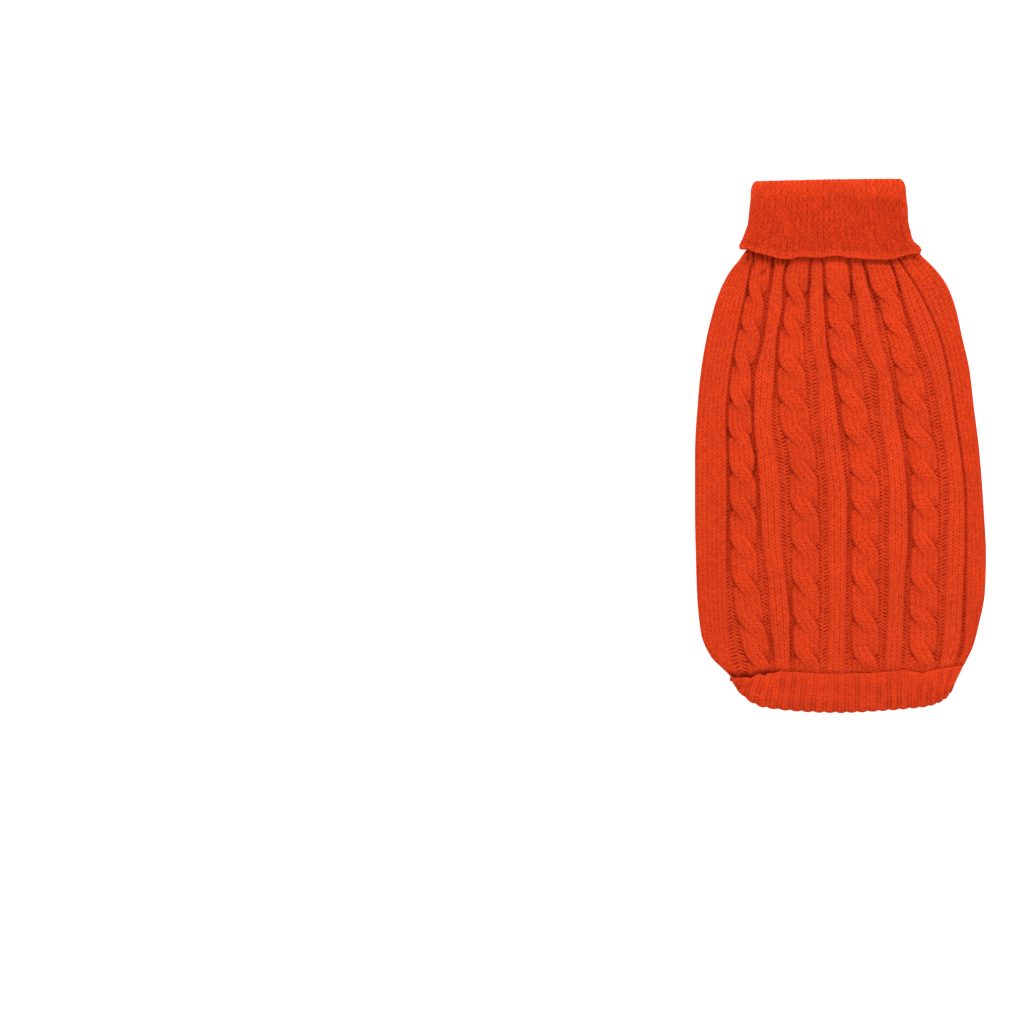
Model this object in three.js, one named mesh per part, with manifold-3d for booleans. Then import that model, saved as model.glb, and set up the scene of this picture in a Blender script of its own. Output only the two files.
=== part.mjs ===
// A small dog's cable-knit pullover, laid flat on its belly with the back up.
// Millimetres, +Z up. X runs across the back, +Y towards the neck, and the cloth rests on Z = 0.
// The tables below give places from the middle of the laid garment's outline.
import * as THREE from 'three';
import { mergeVertices } from 'three/addons/utils/BufferGeometryUtils.js';
import Module from 'manifold-3d';

const wasm = await Module();
wasm.setup();

// Driving dimensions of the cloth
const WALL = 2.4;          // plain knit wall of the belly
const RIB_WALL = 2.2;      // ribbed wall of the collar
const HEM_WALL = 2.45;     // ribbed wall of the hem band
const SEAM = 0.3;          // gap between pieces at a seam, and between layers that lie on each other
const EDGE_ROUND = 2.4;    // how far the rounded side edge reaches in

// Relief of the back over its purl ground, in the outer points only
const GROUND = 1.7;        // wall thickness at the purl ground
const PLAIN_RISE = 0.9;
const COLUMN_RISE = 1.2;
const CABLE_RISE = 2.9;
const CABLE_BED = 0.6;     // height of a cable's bed between its lobes
const LOBE_REACH = 0.72;   // how far a lobe runs from its middle, in crossings
const ROWS_PER_CROSSING = 6;
// Y at which the strands of the cables cross
const CROSSINGS = [89.8, 70.0, 47.8, 25.6, 5.2, -17.0, -38.0, -60.8, -83.6, -105.8, -127.4];

// Neck, collar and hem
const NECK_Y = 117.2;      // the panels' edge at the neck seam
const NECK_GATHERS = 17;   // puckers where the back is drawn into the collar
const GATHER_RISE = 0.55;
const COLLAR_RIBS = 26;    // knit ribs that show across one side of the collar
const COLLAR_RIB_RISE = 0.45;
const HEM_RIBS = 22;       // knit ribs that show across one side of the hem
const HEM_RIB_RISE = 0.7;
const HEM_SCALLOP = 0.6;   // how far each rib's end hangs past the band's edge

// Leg openings in the belly
const LEG = { y: 44, out: 40, halfX: 24, halfY: 33, cuffDepth: 11, ribs: 20, ribRise: 0.25 };

// Sections of the body from neck to hem: Y, the two side edges, and how much higher the row lies
// at its right end than at its left.
const BODY = [
  { y: 117.2, left: -55.0, right: 43.6, tilt: 0 },
  { y: 114.0, left: -58.6, right: 47.0, tilt: 0 },
  { y: 111.0, left: -61.2, right: 50.6, tilt: 0 },
  { y: 108.0, left: -63.4, right: 53.7, tilt: 0 },
  { y: 105.0, left: -65.4, right: 56.6, tilt: 0 },
  { y: 99.0, left: -69.2, right: 60.8, tilt: 0 },
  { y: 93.0, left: -72.7, right: 64.2, tilt: 0 },
  { y: 87.0, left: -75.2, right: 66.7, tilt: 0 },
  { y: 80.4, left: -77.0, right: 69.0, tilt: 0 },
  { y: 66.0, left: -80.1, right: 72.3, tilt: 0 },
  { y: 44.4, left: -84.3, right: 77.1, tilt: 0 },
  { y: 26.4, left: -86.1, right: 79.2, tilt: 0 },
  { y: -6.0, left: -87.9, right: 83.1, tilt: 0 },
  { y: -38.4, left: -87.9, right: 85.5, tilt: 0.8 },
  { y: -67.2, left: -87.3, right: 86.9, tilt: 1.8 },
  { y: -88.8, left: -86.6, right: 86.3, tilt: 2.8 },
  { y: -110.4, left: -84.3, right: 82.5, tilt: 4.6 },
  { y: -124.8, left: -78.0, right: 78.8, tilt: 6.4 },
  { y: -131.5, left: -71.8, right: 75.9, tilt: 7.4 },
  { y: -136.6, left: -66.2, right: 73.6, tilt: 8.2 },
];

// The knitted bands of the back from left to right: kind, and steps of the grid across each
const BANDS = [
  ['plain', 3], ['purl', 1], ['cable', 6], ['purl', 2], ['column', 3], ['purl', 2], ['cable', 6],
  ['purl', 2], ['column', 3], ['purl', 2], ['cable', 6], ['purl', 2], ['column', 3], ['purl', 2],
  ['cable', 6], ['purl', 2], ['column', 3], ['purl', 1], ['plain', 2],
];
// X where one band meets the next, from left to right, at each height
const BAND_EDGES = [
  { y: 117.2, x: [-49.5, -48.5, -40.0, -37.0, -31.0, -29.2, -18.0, -16.4, -10.8, -9.1, 3.4, 5.6, 11.4,
    13.0, 26.2, 27.8, 32.0, 33.2] },
  { y: 110, x: [-54.3, -53.1, -42.9, -39.9, -33.3, -31.5, -19.5, -17.7, -11.7, -9.9, 3.9, 6.3, 12.3,
    14.1, 28.5, 30.3, 34.5, 35.7] },
  { y: 99, x: [-56.4, -55.2, -45.3, -41.7, -35.7, -33.9, -20.1, -18.3, -11.4, -9.6, 4.8, 6.6, 14.7,
    16.8, 32.7, 34.2, 41.7, 42.9] },
  { y: 87, x: [-58.8, -57.6, -47.7, -43.5, -35.7, -33.3, -21.0, -18.9, -10.8, -8.7, 6.3, 9.3, 18.0,
    21.9, 35.4, 37.5, 48.9, 49.8] },
  { y: 63, x: [-63.9, -62.7, -48.9, -46.5, -39.3, -37.5, -22.5, -18.0, -9.3, -7.8, 8.7, 12.0, 23.1,
    27.9, 42.3, 45.9, 59.1, 60.3] },
  { y: 39, x: [-67.8, -66.6, -54.3, -51.9, -40.5, -38.7, -21.0, -14.1, -5.7, -3.0, 12.9, 21.9, 29.7,
    33.0, 49.5, 54.3, 64.5, 65.7] },
  { y: 15, x: [-69.6, -68.1, -54.0, -52.5, -42.3, -36.9, -18.9, -13.5, -2.4, 0.3, 16.5, 23.1, 33.3,
    36.6, 53.1, 59.1, 68.1, 69.6] },
  { y: -9, x: [-69.0, -67.5, -52.2, -50.1, -39.3, -31.5, -15.0, -10.2, 0.3, 4.5, 21.9, 27.3, 37.5,
    40.8, 57.6, 62.7, 71.7, 73.2] },
  { y: -33, x: [-69.0, -67.2, -51.0, -48.6, -36.9, -31.2, -13.8, -8.1, 3.3, 5.7, 23.1, 28.8, 39.3,
    42.0, 58.8, 64.5, 73.8, 75.3] },
  { y: -57, x: [-69.3, -66.9, -50.7, -47.4, -36.3, -30.3, -12.9, -8.1, 3.0, 6.0, 22.5, 28.2, 39.9,
    42.3, 58.5, 63.3, 74.1, 75.6] },
  { y: -81, x: [-69.3, -65.7, -49.5, -44.1, -33.6, -30.0, -12.9, -7.5, 2.7, 6.0, 22.8, 28.2, 37.8,
    41.1, 58.2, 63.0, 73.2, 75.3] },
  { y: -105, x: [-68.4, -63.0, -46.2, -42.6, -31.2, -29.1, -12.9, -7.5, 2.1, 6.0, 22.5, 27.6, 36.9,
    40.5, 57.9, 62.1, 72.3, 74.7] },
  { y: -123, x: [-67.5, -58.2, -43.2, -40.2, -31.2, -28.8, -13.2, -8.4, 2.1, 6.0, 22.5, 26.7, 36.3,
    40.5, 57.3, 60.9, 70.8, 74.0] },
  { y: -136.6, x: [-62.5, -55.2, -42.9, -39.3, -31.5, -27.9, -12.9, -8.7, 1.5, 6.3, 21.9, 26.1, 35.1,
    40.5, 56.0, 59.0, 66.5, 69.8] },
];

// Level of the cloth's underside: the belly rises over the collar's lower layer at the neck.
const BELLY_LEVEL = [
  { y: 117.2, z: 2.5 }, { y: 114.6, z: 2.5 }, { y: 111.0, z: 1.5 }, { y: 107.0, z: 0.25 },
  { y: 104.0, z: 0 }, { y: -137.0, z: 0 },
];
// The hem's seam and free edge and two rows between: side points and the height of the middle.
const HEM = [
  { leftX: -66.0, leftY: -141.4, midY: -137.5, rightX: 73.4, rightY: -132.9 },
  { leftX: -61.6, leftY: -147.2, midY: -144.8, rightX: 68.6, rightY: -140.8 },
  { leftX: -56.0, leftY: -152.2, midY: -152.4, rightX: 65.4, rightY: -147.6 },
  { leftX: -49.0, leftY: -156.2, midY: -159.6, rightX: 60.5, rightY: -153.8 },
];
// The collar from its free edge up to the fold: the sides and the row's height at left, middle and right.
const COLLAR = [
  { leftX: -60.9, leftY: 118.0, midY: 113.2, rightX: 48.0, rightY: 116.6 },
  { leftX: -59.0, leftY: 122.6, midY: 119.0, rightX: 44.8, rightY: 121.4 },
  { leftX: -56.3, leftY: 130.8, midY: 129.0, rightX: 40.2, rightY: 130.6 },
  { leftX: -54.5, leftY: 142.0, midY: 142.0, rightX: 38.4, rightY: 142.4 },
  { leftX: -53.8, leftY: 153.6, midY: 154.6, rightX: 37.4, rightY: 155.0 },
];
const FOLD_RISE = 4.4;      // how far the rounded fold stands above the collar's last row

const clamp = THREE.MathUtils.clamp;
const lerp = THREE.MathUtils.lerp;
const smoothstep = THREE.MathUtils.smoothstep;

// The value of one named column of a table at a height y, along a smooth curve through its rows
function along(table, key, y) {
  const last = table.length - 1;
  let i = 0;
  while (i < last - 1 && y < table[i + 1].y) i += 1;
  const a = table[i];
  const b = table[i + 1];
  const span = b.y - a.y;
  const t = clamp((y - a.y) / span, 0, 1);
  const slope = (p, q) => (q[key] - p[key]) / (q.y - p.y);
  const between = (p, q) => (p * q > 0 ? (2 * p * q) / (p + q) : 0);
  const here = slope(a, b);
  const startSlope = i > 0 ? between(slope(table[i - 1], a), here) : here;
  const endSlope = i < last - 1 ? between(here, slope(b, table[i + 2])) : here;
  const t2 = t * t;
  const t3 = t2 * t;
  return a[key] * (2 * t3 - 3 * t2 + 1) + b[key] * (3 * t2 - 2 * t3)
    + span * (startSlope * (t3 - 2 * t2 + t) + endSlope * (t3 - t2));
}

// A point between a row's two ends on a parabola through its middle height
function onRow(row, s) {
  const y = row.leftY * (1 - s) * (1 - 2 * s) + row.midY * 4 * s * (1 - s) + row.rightY * s * (2 * s - 1);
  return { x: lerp(row.leftX, row.rightX, s), y };
}

// A named row between two rows of a table, t = 0 at the first row and 1 at the last
function rowAt(table, t) {
  const place = clamp(t, 0, 1) * (table.length - 1);
  const i = Math.min(Math.floor(place), table.length - 2);
  const f = place - i;
  const row = {};
  for (const key of Object.keys(table[0])) row[key] = lerp(table[i][key], table[i + 1][key], f);
  return row;
}

// A closed mesh from corner points and triangles, turned so that its faces point out
function closedMesh(points, triangles) {
  let volume = 0;
  for (const [a, b, c] of triangles) {
    volume += points[a].clone().cross(points[b]).dot(points[c]);
  }
  const facing = volume > 0 ? triangles : triangles.map(([a, b, c]) => [a, c, b]);
  const geometry = new THREE.BufferGeometry().setFromPoints(points);
  geometry.setIndex(facing.flat());
  return mergeVertices(geometry, 1e-4);
}

// A wall between an outer grid of points and a coarser inner one with as many rows
function wall(outer, inner) {
  const points = [];
  const triangles = [];
  const place = (grid) => grid.map((row) => row.map((point) => points.push(point) - 1));
  const top = place(outer);
  const base = place(inner);
  const quads = (rows, turned) => {
    for (let i = 0; i + 1 < rows.length; i += 1) {
      for (let j = 0; j + 1 < rows[i].length; j += 1) {
        const [a, b] = [rows[i][j], rows[i][j + 1]];
        const [c, d] = [rows[i + 1][j + 1], rows[i + 1][j]];
        if (turned) triangles.push([a, b, c], [a, c, d]);
        else triangles.push([a, c, b], [a, d, c]);
      }
    }
  };
  // Two lines of points that run side by side are joined by triangles, whatever their counts
  const zip = (lineA, lineB, turned) => {
    let i = 0;
    let j = 0;
    while (i < lineA.length - 1 || j < lineB.length - 1) {
      const stepA = (i + 1) / (lineA.length - 1);
      const stepB = (j + 1) / (lineB.length - 1);
      let face;
      if (j === lineB.length - 1 || (i < lineA.length - 1 && stepA <= stepB)) {
        face = [lineA[i], lineA[i + 1], lineB[j]];
        i += 1;
      } else {
        face = [lineA[i], lineB[j + 1], lineB[j]];
        j += 1;
      }
      triangles.push(turned ? [face[0], face[2], face[1]] : face);
    }
  };
  const left = (rows) => rows.map((row) => row[0]);
  const right = (rows) => rows.map((row) => row[row.length - 1]);
  quads(top, true);
  quads(base, false);
  zip(top[0], base[0], true);
  zip(top[top.length - 1], base[base.length - 1], false);
  zip(left(top), left(base), false);
  zip(right(top), right(base), true);
  return closedMesh(points, triangles);
}

// A closed ring of cloth: rings[i][j] goes round the tube with j and round the wall's section with i
function ring(rings) {
  const points = rings.flat();
  const around = rings[0].length;
  const triangles = [];
  rings.forEach((_, i) => {
    const next = (i + 1) % rings.length;
    for (let j = 0; j < around; j += 1) {
      const k = (j + 1) % around;
      const [a, b] = [i * around + j, i * around + k];
      const [c, d] = [next * around + k, next * around + j];
      triangles.push([a, b, c], [a, c, d]);
    }
  });
  return closedMesh(points, triangles);
}

// How many crossings lie above a height, with even steps between one crossing and the next
function crossingsPassed(y) {
  const last = CROSSINGS.length - 1;
  const pitch = (CROSSINGS[0] - CROSSINGS[last]) / last;
  if (y >= CROSSINGS[0]) return (CROSSINGS[0] - y) / pitch;
  if (y <= CROSSINGS[last]) return last + (CROSSINGS[last] - y) / pitch;
  const k = CROSSINGS.findIndex((height) => height < y) - 1;
  return k + (CROSSINGS[k] - y) / (CROSSINGS[k] - CROSSINGS[k + 1]);
}

// The lobes of one cable: each strand in turn crosses over from upper left to lower right.
// side runs from -1 at the cable's left edge to 1 at its right edge.
function cableRise(side, y) {
  const turns = crossingsPassed(y);
  let rise = CABLE_BED;
  const nearest = Math.round(turns);
  for (let k = Math.max(nearest - 1, 0); k <= nearest + 1; k += 1) {
    const t = (turns - k) / LOBE_REACH;
    if (Math.abs(t) < 1) {
      const middle = 0.42 * Math.sin((Math.PI / 2) * clamp(1.6 * t, -1, 1));
      const across = (side - middle) / 0.66;
      const bulge = Math.sqrt(Math.max(1 - across * across, 0));
      rise = Math.max(rise, CABLE_RISE * bulge * Math.cos((Math.PI / 2) * t) ** 0.5);
    }
  }
  // Above the first crossing the six wales lie side by side
  const straight = smoothstep(y, CROSSINGS[0] + 2, CROSSINGS[0] + 11);
  return lerp(rise, 1.6 * COLUMN_RISE * (1 - side ** 4), straight);
}

function bandRise(kind, f, y) {
  const side = 2 * f - 1;
  if (kind === 'plain') return PLAIN_RISE;
  if (kind === 'purl') return PLAIN_RISE * Math.abs(side) ** 2 * 0.6;
  if (kind === 'column') return COLUMN_RISE * (1 - 0.35 * side ** 4);
  return cableRise(side, y);
}

// X where band k begins at a height; the outermost bands end where the side edges' rounding starts
function bandEdge(k, y) {
  if (k === 0) return along(BODY, 'left', y) + EDGE_ROUND;
  if (k === BANDS.length) return along(BODY, 'right', y) - EDGE_ROUND;
  return along(BAND_EDGES.map((row) => ({ y: row.y, x: row.x[k - 1] })), 'x', y);
}

// The lines of the back's grid from left to right: band kind, place in the band, and X at a height
function backLines() {
  const onEdge = (x) => ({ kind: 'plain', f: 0.5, x });
  const lines = [0, 0.7].map((inset) => onEdge((y) => along(BODY, 'left', y) + inset));
  BANDS.forEach(([kind, steps], index) => {
    for (let k = 0; k < steps; k += 1) {
      const f = k / steps;
      lines.push({ kind, f, x: (y) => lerp(bandEdge(index, y), bandEdge(index + 1, y), f) });
    }
  });
  lines.push(...[EDGE_ROUND, 0.7, 0].map((inset) => onEdge((y) => along(BODY, 'right', y) - inset)));
  return lines;
}

// Rows of the body: finer where the neck is gathered and at the hem
function bodyRows() {
  const crossings = CROSSINGS.length - 1;
  const step = (CROSSINGS[0] - CROSSINGS[crossings]) / crossings / ROWS_PER_CROSSING;
  const last = BODY[BODY.length - 1].y;
  const rows = [NECK_Y, 115, 113, 111, 109, 107, 105];
  for (let y = 102; y > last + 3; y -= step) rows.push(y);
  rows.push(last + 1.8, last);
  return rows;
}

function rowTilt(y, s) {
  return along(BODY, 'tilt', y) * (s - 0.5);
}

// How much of its full relief the back keeps at a height: none under the collar
function reliefAt(y) {
  const last = BODY[BODY.length - 1].y;
  return smoothstep(-y, -112.5, -105) * lerp(0.45, 1, smoothstep(y, last, last + 7));
}

// Height of the rounded side edge over the mid plane between the layers, for a distance from it
function edgeRound(distance, full) {
  const f = clamp(distance / EDGE_ROUND, 0, 1);
  return full * (0.3 + 0.7 * Math.sqrt(1 - (1 - f) ** 2));
}

function backPanel() {
  const lines = backLines();
  const outer = [];
  const inner = [];
  for (const y of bodyRows()) {
    const floor = along(BELLY_LEVEL, 'z', y) + lerp(WALL, RIB_WALL, smoothstep(y, 104, 114)) + SEAM;
    const lift = floor + 0.1 * smoothstep(y, 104, 114);
    const ground = lerp(GROUND + PLAIN_RISE, RIB_WALL, smoothstep(y, 104, 114)) - PLAIN_RISE * reliefAt(y);
    const left = along(BODY, 'left', y);
    const right = along(BODY, 'right', y);
    const gathers = smoothstep(y, 96, 105) * (1 - smoothstep(y, 107, 112)) * GATHER_RISE;
    outer.push(lines.map((line) => {
      const x = line.x(y);
      const s = (x - left) / (right - left);
      const inside = Math.min(x - left, right - x);
      const rise = bandRise(line.kind, line.f, y) * reliefAt(y);
      const pucker = gathers * Math.sin(2 * Math.PI * NECK_GATHERS * s);
      const high = inside < EDGE_ROUND + 0.01 ? 0 : pucker;
      return new THREE.Vector3(x, y + rowTilt(y, s), lift + edgeRound(inside, ground + rise) + high);
    }));
    const steps = 6;
    inner.push([...Array(steps + 1).keys()].map((k) => {
      const s = k / steps;
      return new THREE.Vector3(lerp(left, right, s), y + rowTilt(y, s), lift);
    }));
  }
  return wall(outer, inner);
}

// An upright prism on an ellipse, to cut a leg opening
function ellipsePrism(x, y, halfX, halfY, low, high) {
  const shape = new THREE.Shape().absellipse(x, y, halfX, halfY, 0, 2 * Math.PI);
  const options = { depth: high - low, bevelEnabled: false, curveSegments: 40 };
  const geometry = new THREE.ExtrudeGeometry(shape, options);
  return geometry.translate(0, 0, low);
}

function toSolid(geometry) {
  const bare = geometry.clone();
  bare.deleteAttribute('normal');
  bare.deleteAttribute('uv');
  const merged = mergeVertices(bare, 1e-4);
  const vertProperties = new Float32Array(merged.attributes.position.array);
  const triVerts = new Uint32Array(merged.index.array);
  return new wasm.Manifold(new wasm.Mesh({ numProp: 3, vertProperties, triVerts }));
}

function fromSolid(solid) {
  const mesh = solid.getMesh();
  const geometry = new THREE.BufferGeometry();
  geometry.setAttribute('position', new THREE.BufferAttribute(mesh.vertProperties, 3));
  geometry.setIndex(new THREE.BufferAttribute(mesh.triVerts, 1));
  return geometry;
}

function legCentre(side) {
  const middle = (along(BODY, 'left', LEG.y) + along(BODY, 'right', LEG.y)) / 2;
  return { x: middle + side * LEG.out, y: LEG.y };
}

function bellyPanel() {
  const steps = 4;
  const under = [];
  const upper = [];
  for (const y of bodyRows().filter((_, i, all) => i < 7 || i % 3 === 0 || i > all.length - 4)) {
    const low = along(BELLY_LEVEL, 'z', y);
    const thick = lerp(WALL, RIB_WALL, smoothstep(y, 104, 114));
    const left = along(BODY, 'left', y);
    const right = along(BODY, 'right', y);
    const row = (x, z) => {
      const s = (x - left) / (right - left);
      return new THREE.Vector3(x, y + rowTilt(y, s), z);
    };
    const xs = [left, left + 0.7, left + EDGE_ROUND];
    for (let k = 1; k < steps; k += 1) xs.push(lerp(left, right, k / steps));
    xs.push(right - EDGE_ROUND, right - 0.7, right);
    under.push(xs.map((x) => row(x, low + thick - edgeRound(Math.min(x - left, right - x), thick))));
    upper.push([0, 0.25, 0.5, 0.75, 1].map((s) => row(lerp(left, right, s), low + thick)));
  }
  let solid = toSolid(wall(under, upper));
  for (const side of [-1, 1]) {
    const { x, y } = legCentre(side);
    solid = solid.subtract(toSolid(ellipsePrism(x, y, LEG.halfX, LEG.halfY, -5, 10)));
  }
  return fromSolid(solid);
}

// Stations round a flattened tube of half thickness h: ribs across the top, an arc at each side,
// and a plain bottom. s runs across from 0 to 1, rib is 1 on a rib's crest.
function flatTube(ribs, stepsPerRib, crest) {
  const stations = [];
  const count = ribs * stepsPerRib;
  for (let k = 0; k <= count; k += 1) {
    stations.push({ s: k / count, up: 1, rib: crest(k % stepsPerRib) });
  }
  const arc = [60, 20, -20, -60];
  for (const angle of arc) stations.push({ s: 1, angle: (angle * Math.PI) / 180, rib: 0 });
  const floorSteps = 8;
  for (let k = 0; k <= floorSteps; k += 1) stations.push({ s: 1 - k / floorSteps, up: -1, rib: 0 });
  for (const angle of arc) stations.push({ s: 0, angle: Math.PI + (angle * Math.PI) / 180, rib: 0 });
  return stations;
}

// A station's point on the tube: row gives the outline, inset how deep inside the outer face it lies
function tubePoint(station, row, middleZ, half, inset, ribRise, drop = 0) {
  const radius = half - inset;
  const straight = onRow(row, station.s);
  const width = row.rightX - row.leftX;
  const shrink = (width - 2 * half) / width;
  const x = lerp(row.leftX, row.rightX, 0.5) + (straight.x - lerp(row.leftX, row.rightX, 0.5)) * shrink;
  const y = straight.y - drop * station.rib;
  if (station.up > 0) return new THREE.Vector3(x, y, middleZ + radius + ribRise * station.rib);
  if (station.up < 0) return new THREE.Vector3(x, y, middleZ - radius);
  const { angle } = station;
  return new THREE.Vector3(x + radius * Math.cos(angle), y, middleZ + radius * Math.sin(angle));
}

function hemBand() {
  const half = HEM_WALL + 0.2;
  const stations = flatTube(HEM_RIBS, 3, (k) => [0, 1, 1][k]);
  const rim = (t, inset, ribRise, drop) => {
    const row = rowAt(HEM, t);
    return stations.map((station) => tubePoint(station, row, half, half, inset, ribRise, drop));
  };
  return ring([
    rim(0, 0, HEM_RIB_RISE * 0.5, 0),
    rim(0.12, 0, HEM_RIB_RISE, 0),
    rim(0.5, 0, HEM_RIB_RISE, 0),
    rim(0.88, 0, HEM_RIB_RISE, HEM_SCALLOP * 0.5),
    rim(0.97, 0.5, HEM_RIB_RISE, HEM_SCALLOP),
    rim(1, 1.2, 0, HEM_SCALLOP),
    rim(0.98, HEM_WALL - 0.3, 0, 0),
    rim(0.9, HEM_WALL, 0, 0),
    rim(0.45, HEM_WALL, 0, 0),
    rim(0, HEM_WALL, 0, 0),
  ]);
}

// The collar is one tube turned down over itself: up from the neck seam, over the fold, and down
function collar() {
  const half = 2 * RIB_WALL + SEAM + 0.2;
  const stations = flatTube(COLLAR_RIBS, 2, (k) => [0, 1][k]);
  const fold = RIB_WALL + SEAM / 2;
  const rim = (t, inset, ribRise, rise = 0) => {
    const row = { ...rowAt(COLLAR, t) };
    for (const key of ['leftY', 'midY', 'rightY']) row[key] += rise;
    return stations.map((station) => tubePoint(station, row, half, half, inset, ribRise));
  };
  const innerFace = 2 * RIB_WALL + SEAM;
  const innerOuterFace = RIB_WALL + SEAM;
  const seamY = NECK_Y + SEAM;
  const seamRow = { leftX: -58.2, rightX: 47.8, leftY: seamY, midY: seamY, rightY: seamY };
  const seamRim = (inset) => stations.map((station) => tubePoint(station, seamRow, half, half, inset, 0));
  return ring([
    rim(0, RIB_WALL * 0.5, COLLAR_RIB_RISE * 0.5, -0.4),
    rim(0, 0.3, COLLAR_RIB_RISE),
    rim(0.1, 0, COLLAR_RIB_RISE),
    rim(0.5, 0, COLLAR_RIB_RISE),
    rim(1, 0, COLLAR_RIB_RISE),
    rim(1, fold * 0.35, COLLAR_RIB_RISE, FOLD_RISE * 0.75),
    rim(1, fold, 0, FOLD_RISE),
    rim(1, fold * 1.7, 0, FOLD_RISE * 0.7),
    rim(1, innerFace, 0),
    rim(0.5, innerFace, 0),
    seamRim(innerFace),
    seamRim(innerOuterFace),
    rim(0.5, innerOuterFace, 0),
    rim(0.98, innerOuterFace, 0),
    rim(1, fold, 0, FOLD_RISE - RIB_WALL),
    rim(0.98, RIB_WALL, 0),
    rim(0.5, RIB_WALL, 0),
    rim(0, RIB_WALL, 0, 0.4),
  ]);
}

// A ribbed cuff lies in its leg opening, sewn to the hole's edge and drawn in towards the leg
function legCuff(side) {
  const { x, y } = legCentre(side);
  const thick = WALL - LEG.ribRise - 0.1;
  const section = [
    { depth: 0, z: 0 },
    { depth: 0, z: thick * 0.9, ribbed: true },
    { depth: 0.12, z: thick, ribbed: true },
    { depth: 0.85, z: thick, ribbed: true },
    { depth: 1, z: thick * 0.5, scallop: 1 },
    { depth: 0.88, z: 0 },
  ];
  const count = LEG.ribs * 2;
  return ring(section.map((point) => [...Array(count).keys()].map((j) => {
    const angle = (2 * Math.PI * j) / count;
    const crest = j % 2;
    const depth = SEAM + point.depth * LEG.cuffDepth + (point.scallop ? 0.5 * crest : 0);
    const px = x + (LEG.halfX - depth) * Math.cos(angle);
    const py = y + (LEG.halfY - depth) * Math.sin(angle);
    return new THREE.Vector3(px, py, point.z + (point.ribbed ? LEG.ribRise * crest : 0));
  })));
}

const knit = (color) => new THREE.MeshStandardMaterial({ color, roughness: 0.95, metalness: 0 });

const sweater = new THREE.Group();
function addPiece(name, geometry, color) {
  geometry.computeVertexNormals();
  const mesh = new THREE.Mesh(geometry, knit(color));
  mesh.name = name;
  sweater.add(mesh);
}

addPiece('back_panel', backPanel(), 0xe8441f);
addPiece('belly_panel', bellyPanel(), 0xe23f1c);
addPiece('collar', collar(), 0xe5421e);
addPiece('hem_band', hemBand(), 0xe5421e);
addPiece('cuff_left', legCuff(-1), 0xe03d1b);
addPiece('cuff_right', legCuff(1), 0xe03d1b);

// The origin is under the middle of the outline, on the surface that the cloth rests on
const outline = new THREE.Box3().setFromObject(sweater);
const middle = outline.getCenter(new THREE.Vector3());
sweater.position.set(-middle.x, -middle.y, -outline.min.z);

export default sweater;
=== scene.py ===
# A small dog's cable-knit pullover, laid flat on its belly with the back up: the finish over the frame.
# Places and sizes are in millimetres from the middle of the laid outline, as the solids have them, and
# put_down() turns them into metres in the frame's own place.
import math

import bpy
import numpy as np
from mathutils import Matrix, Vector


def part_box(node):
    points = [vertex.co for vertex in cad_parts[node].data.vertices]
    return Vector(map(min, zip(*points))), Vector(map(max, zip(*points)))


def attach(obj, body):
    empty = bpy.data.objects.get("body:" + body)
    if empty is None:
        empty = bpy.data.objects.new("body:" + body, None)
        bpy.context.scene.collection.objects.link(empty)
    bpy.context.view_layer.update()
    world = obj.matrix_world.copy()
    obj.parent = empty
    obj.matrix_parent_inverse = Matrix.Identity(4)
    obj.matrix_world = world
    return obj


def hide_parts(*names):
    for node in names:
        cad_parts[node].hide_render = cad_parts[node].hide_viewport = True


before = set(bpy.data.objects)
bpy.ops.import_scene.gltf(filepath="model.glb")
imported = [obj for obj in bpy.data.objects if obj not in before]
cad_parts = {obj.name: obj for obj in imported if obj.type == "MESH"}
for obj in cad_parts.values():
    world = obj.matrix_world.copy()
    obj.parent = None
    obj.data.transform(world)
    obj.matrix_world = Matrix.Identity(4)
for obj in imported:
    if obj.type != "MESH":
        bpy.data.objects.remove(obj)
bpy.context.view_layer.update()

MM = 0.001

# Cloth
WALL = 2.4            # plain knit wall
RIB_WALL = 2.2        # wall of the collar
HEM_WALL = 2.45       # wall of the hem band
SEAM = 0.3            # gap at a seam and between layers
WALE = 2.8            # one wale across, where no stitches are raised
ROW = 2.18            # one knitted row
EDGE = 2.6            # radius of the rounded side edge
ARC = EDGE * (math.pi / 2 - 1)   # what that edge takes up beyond its width
STITCH = 0.55         # how far a stitch's legs stand out
PURL = 0.6            # how far a purl bump stands out
SLANT = 0.95          # how many rows a stitch's leg climbs from one side of it to the other
PURL_SLANT = 0.85

# Grids of points
LINES = {"plain": 4, "column": 4, "purl": 4, "cable": 1}   # lines to each wale, by kind
ROW_LINES = 4         # lines to each row
BELLY_WALES = 58
BELLY_ROW_LINES = 3
INNER_ROWS = 40       # of a panel's plain inner side
INNER_COLUMNS = 9
HEM_RIBS = 22
HEM_RIB_LINES = 12
COLLAR_RIBS = 26
COLLAR_RIB_LINES = 8
CUFF_RIB_LINES = 10

# Relief of the back
GROUND = 1.3
PLAIN_RISE = 1.15
COLUMN_RISE = 1.5
TUCK = 1.6            # how far the purl wales run on beneath a cable
LIP = 1.2             # how far the back's end is lifted over the hem that comes out beneath it
PIT_SHADE = 0.6       # painted shade in the gathers' pits for each millimetre of their depth
COLUMN_SPLIT = 1.7    # how marked the line between a stitch's two legs is, in relief and in painted shade
CABLE_SPLIT = 0.5

NECK_Y = 117.2
PITS_Y = 113.5        # where the gathers' pits start
HEM_SEAM_Y = -136.6
BODY_LEFT = -87.9

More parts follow.
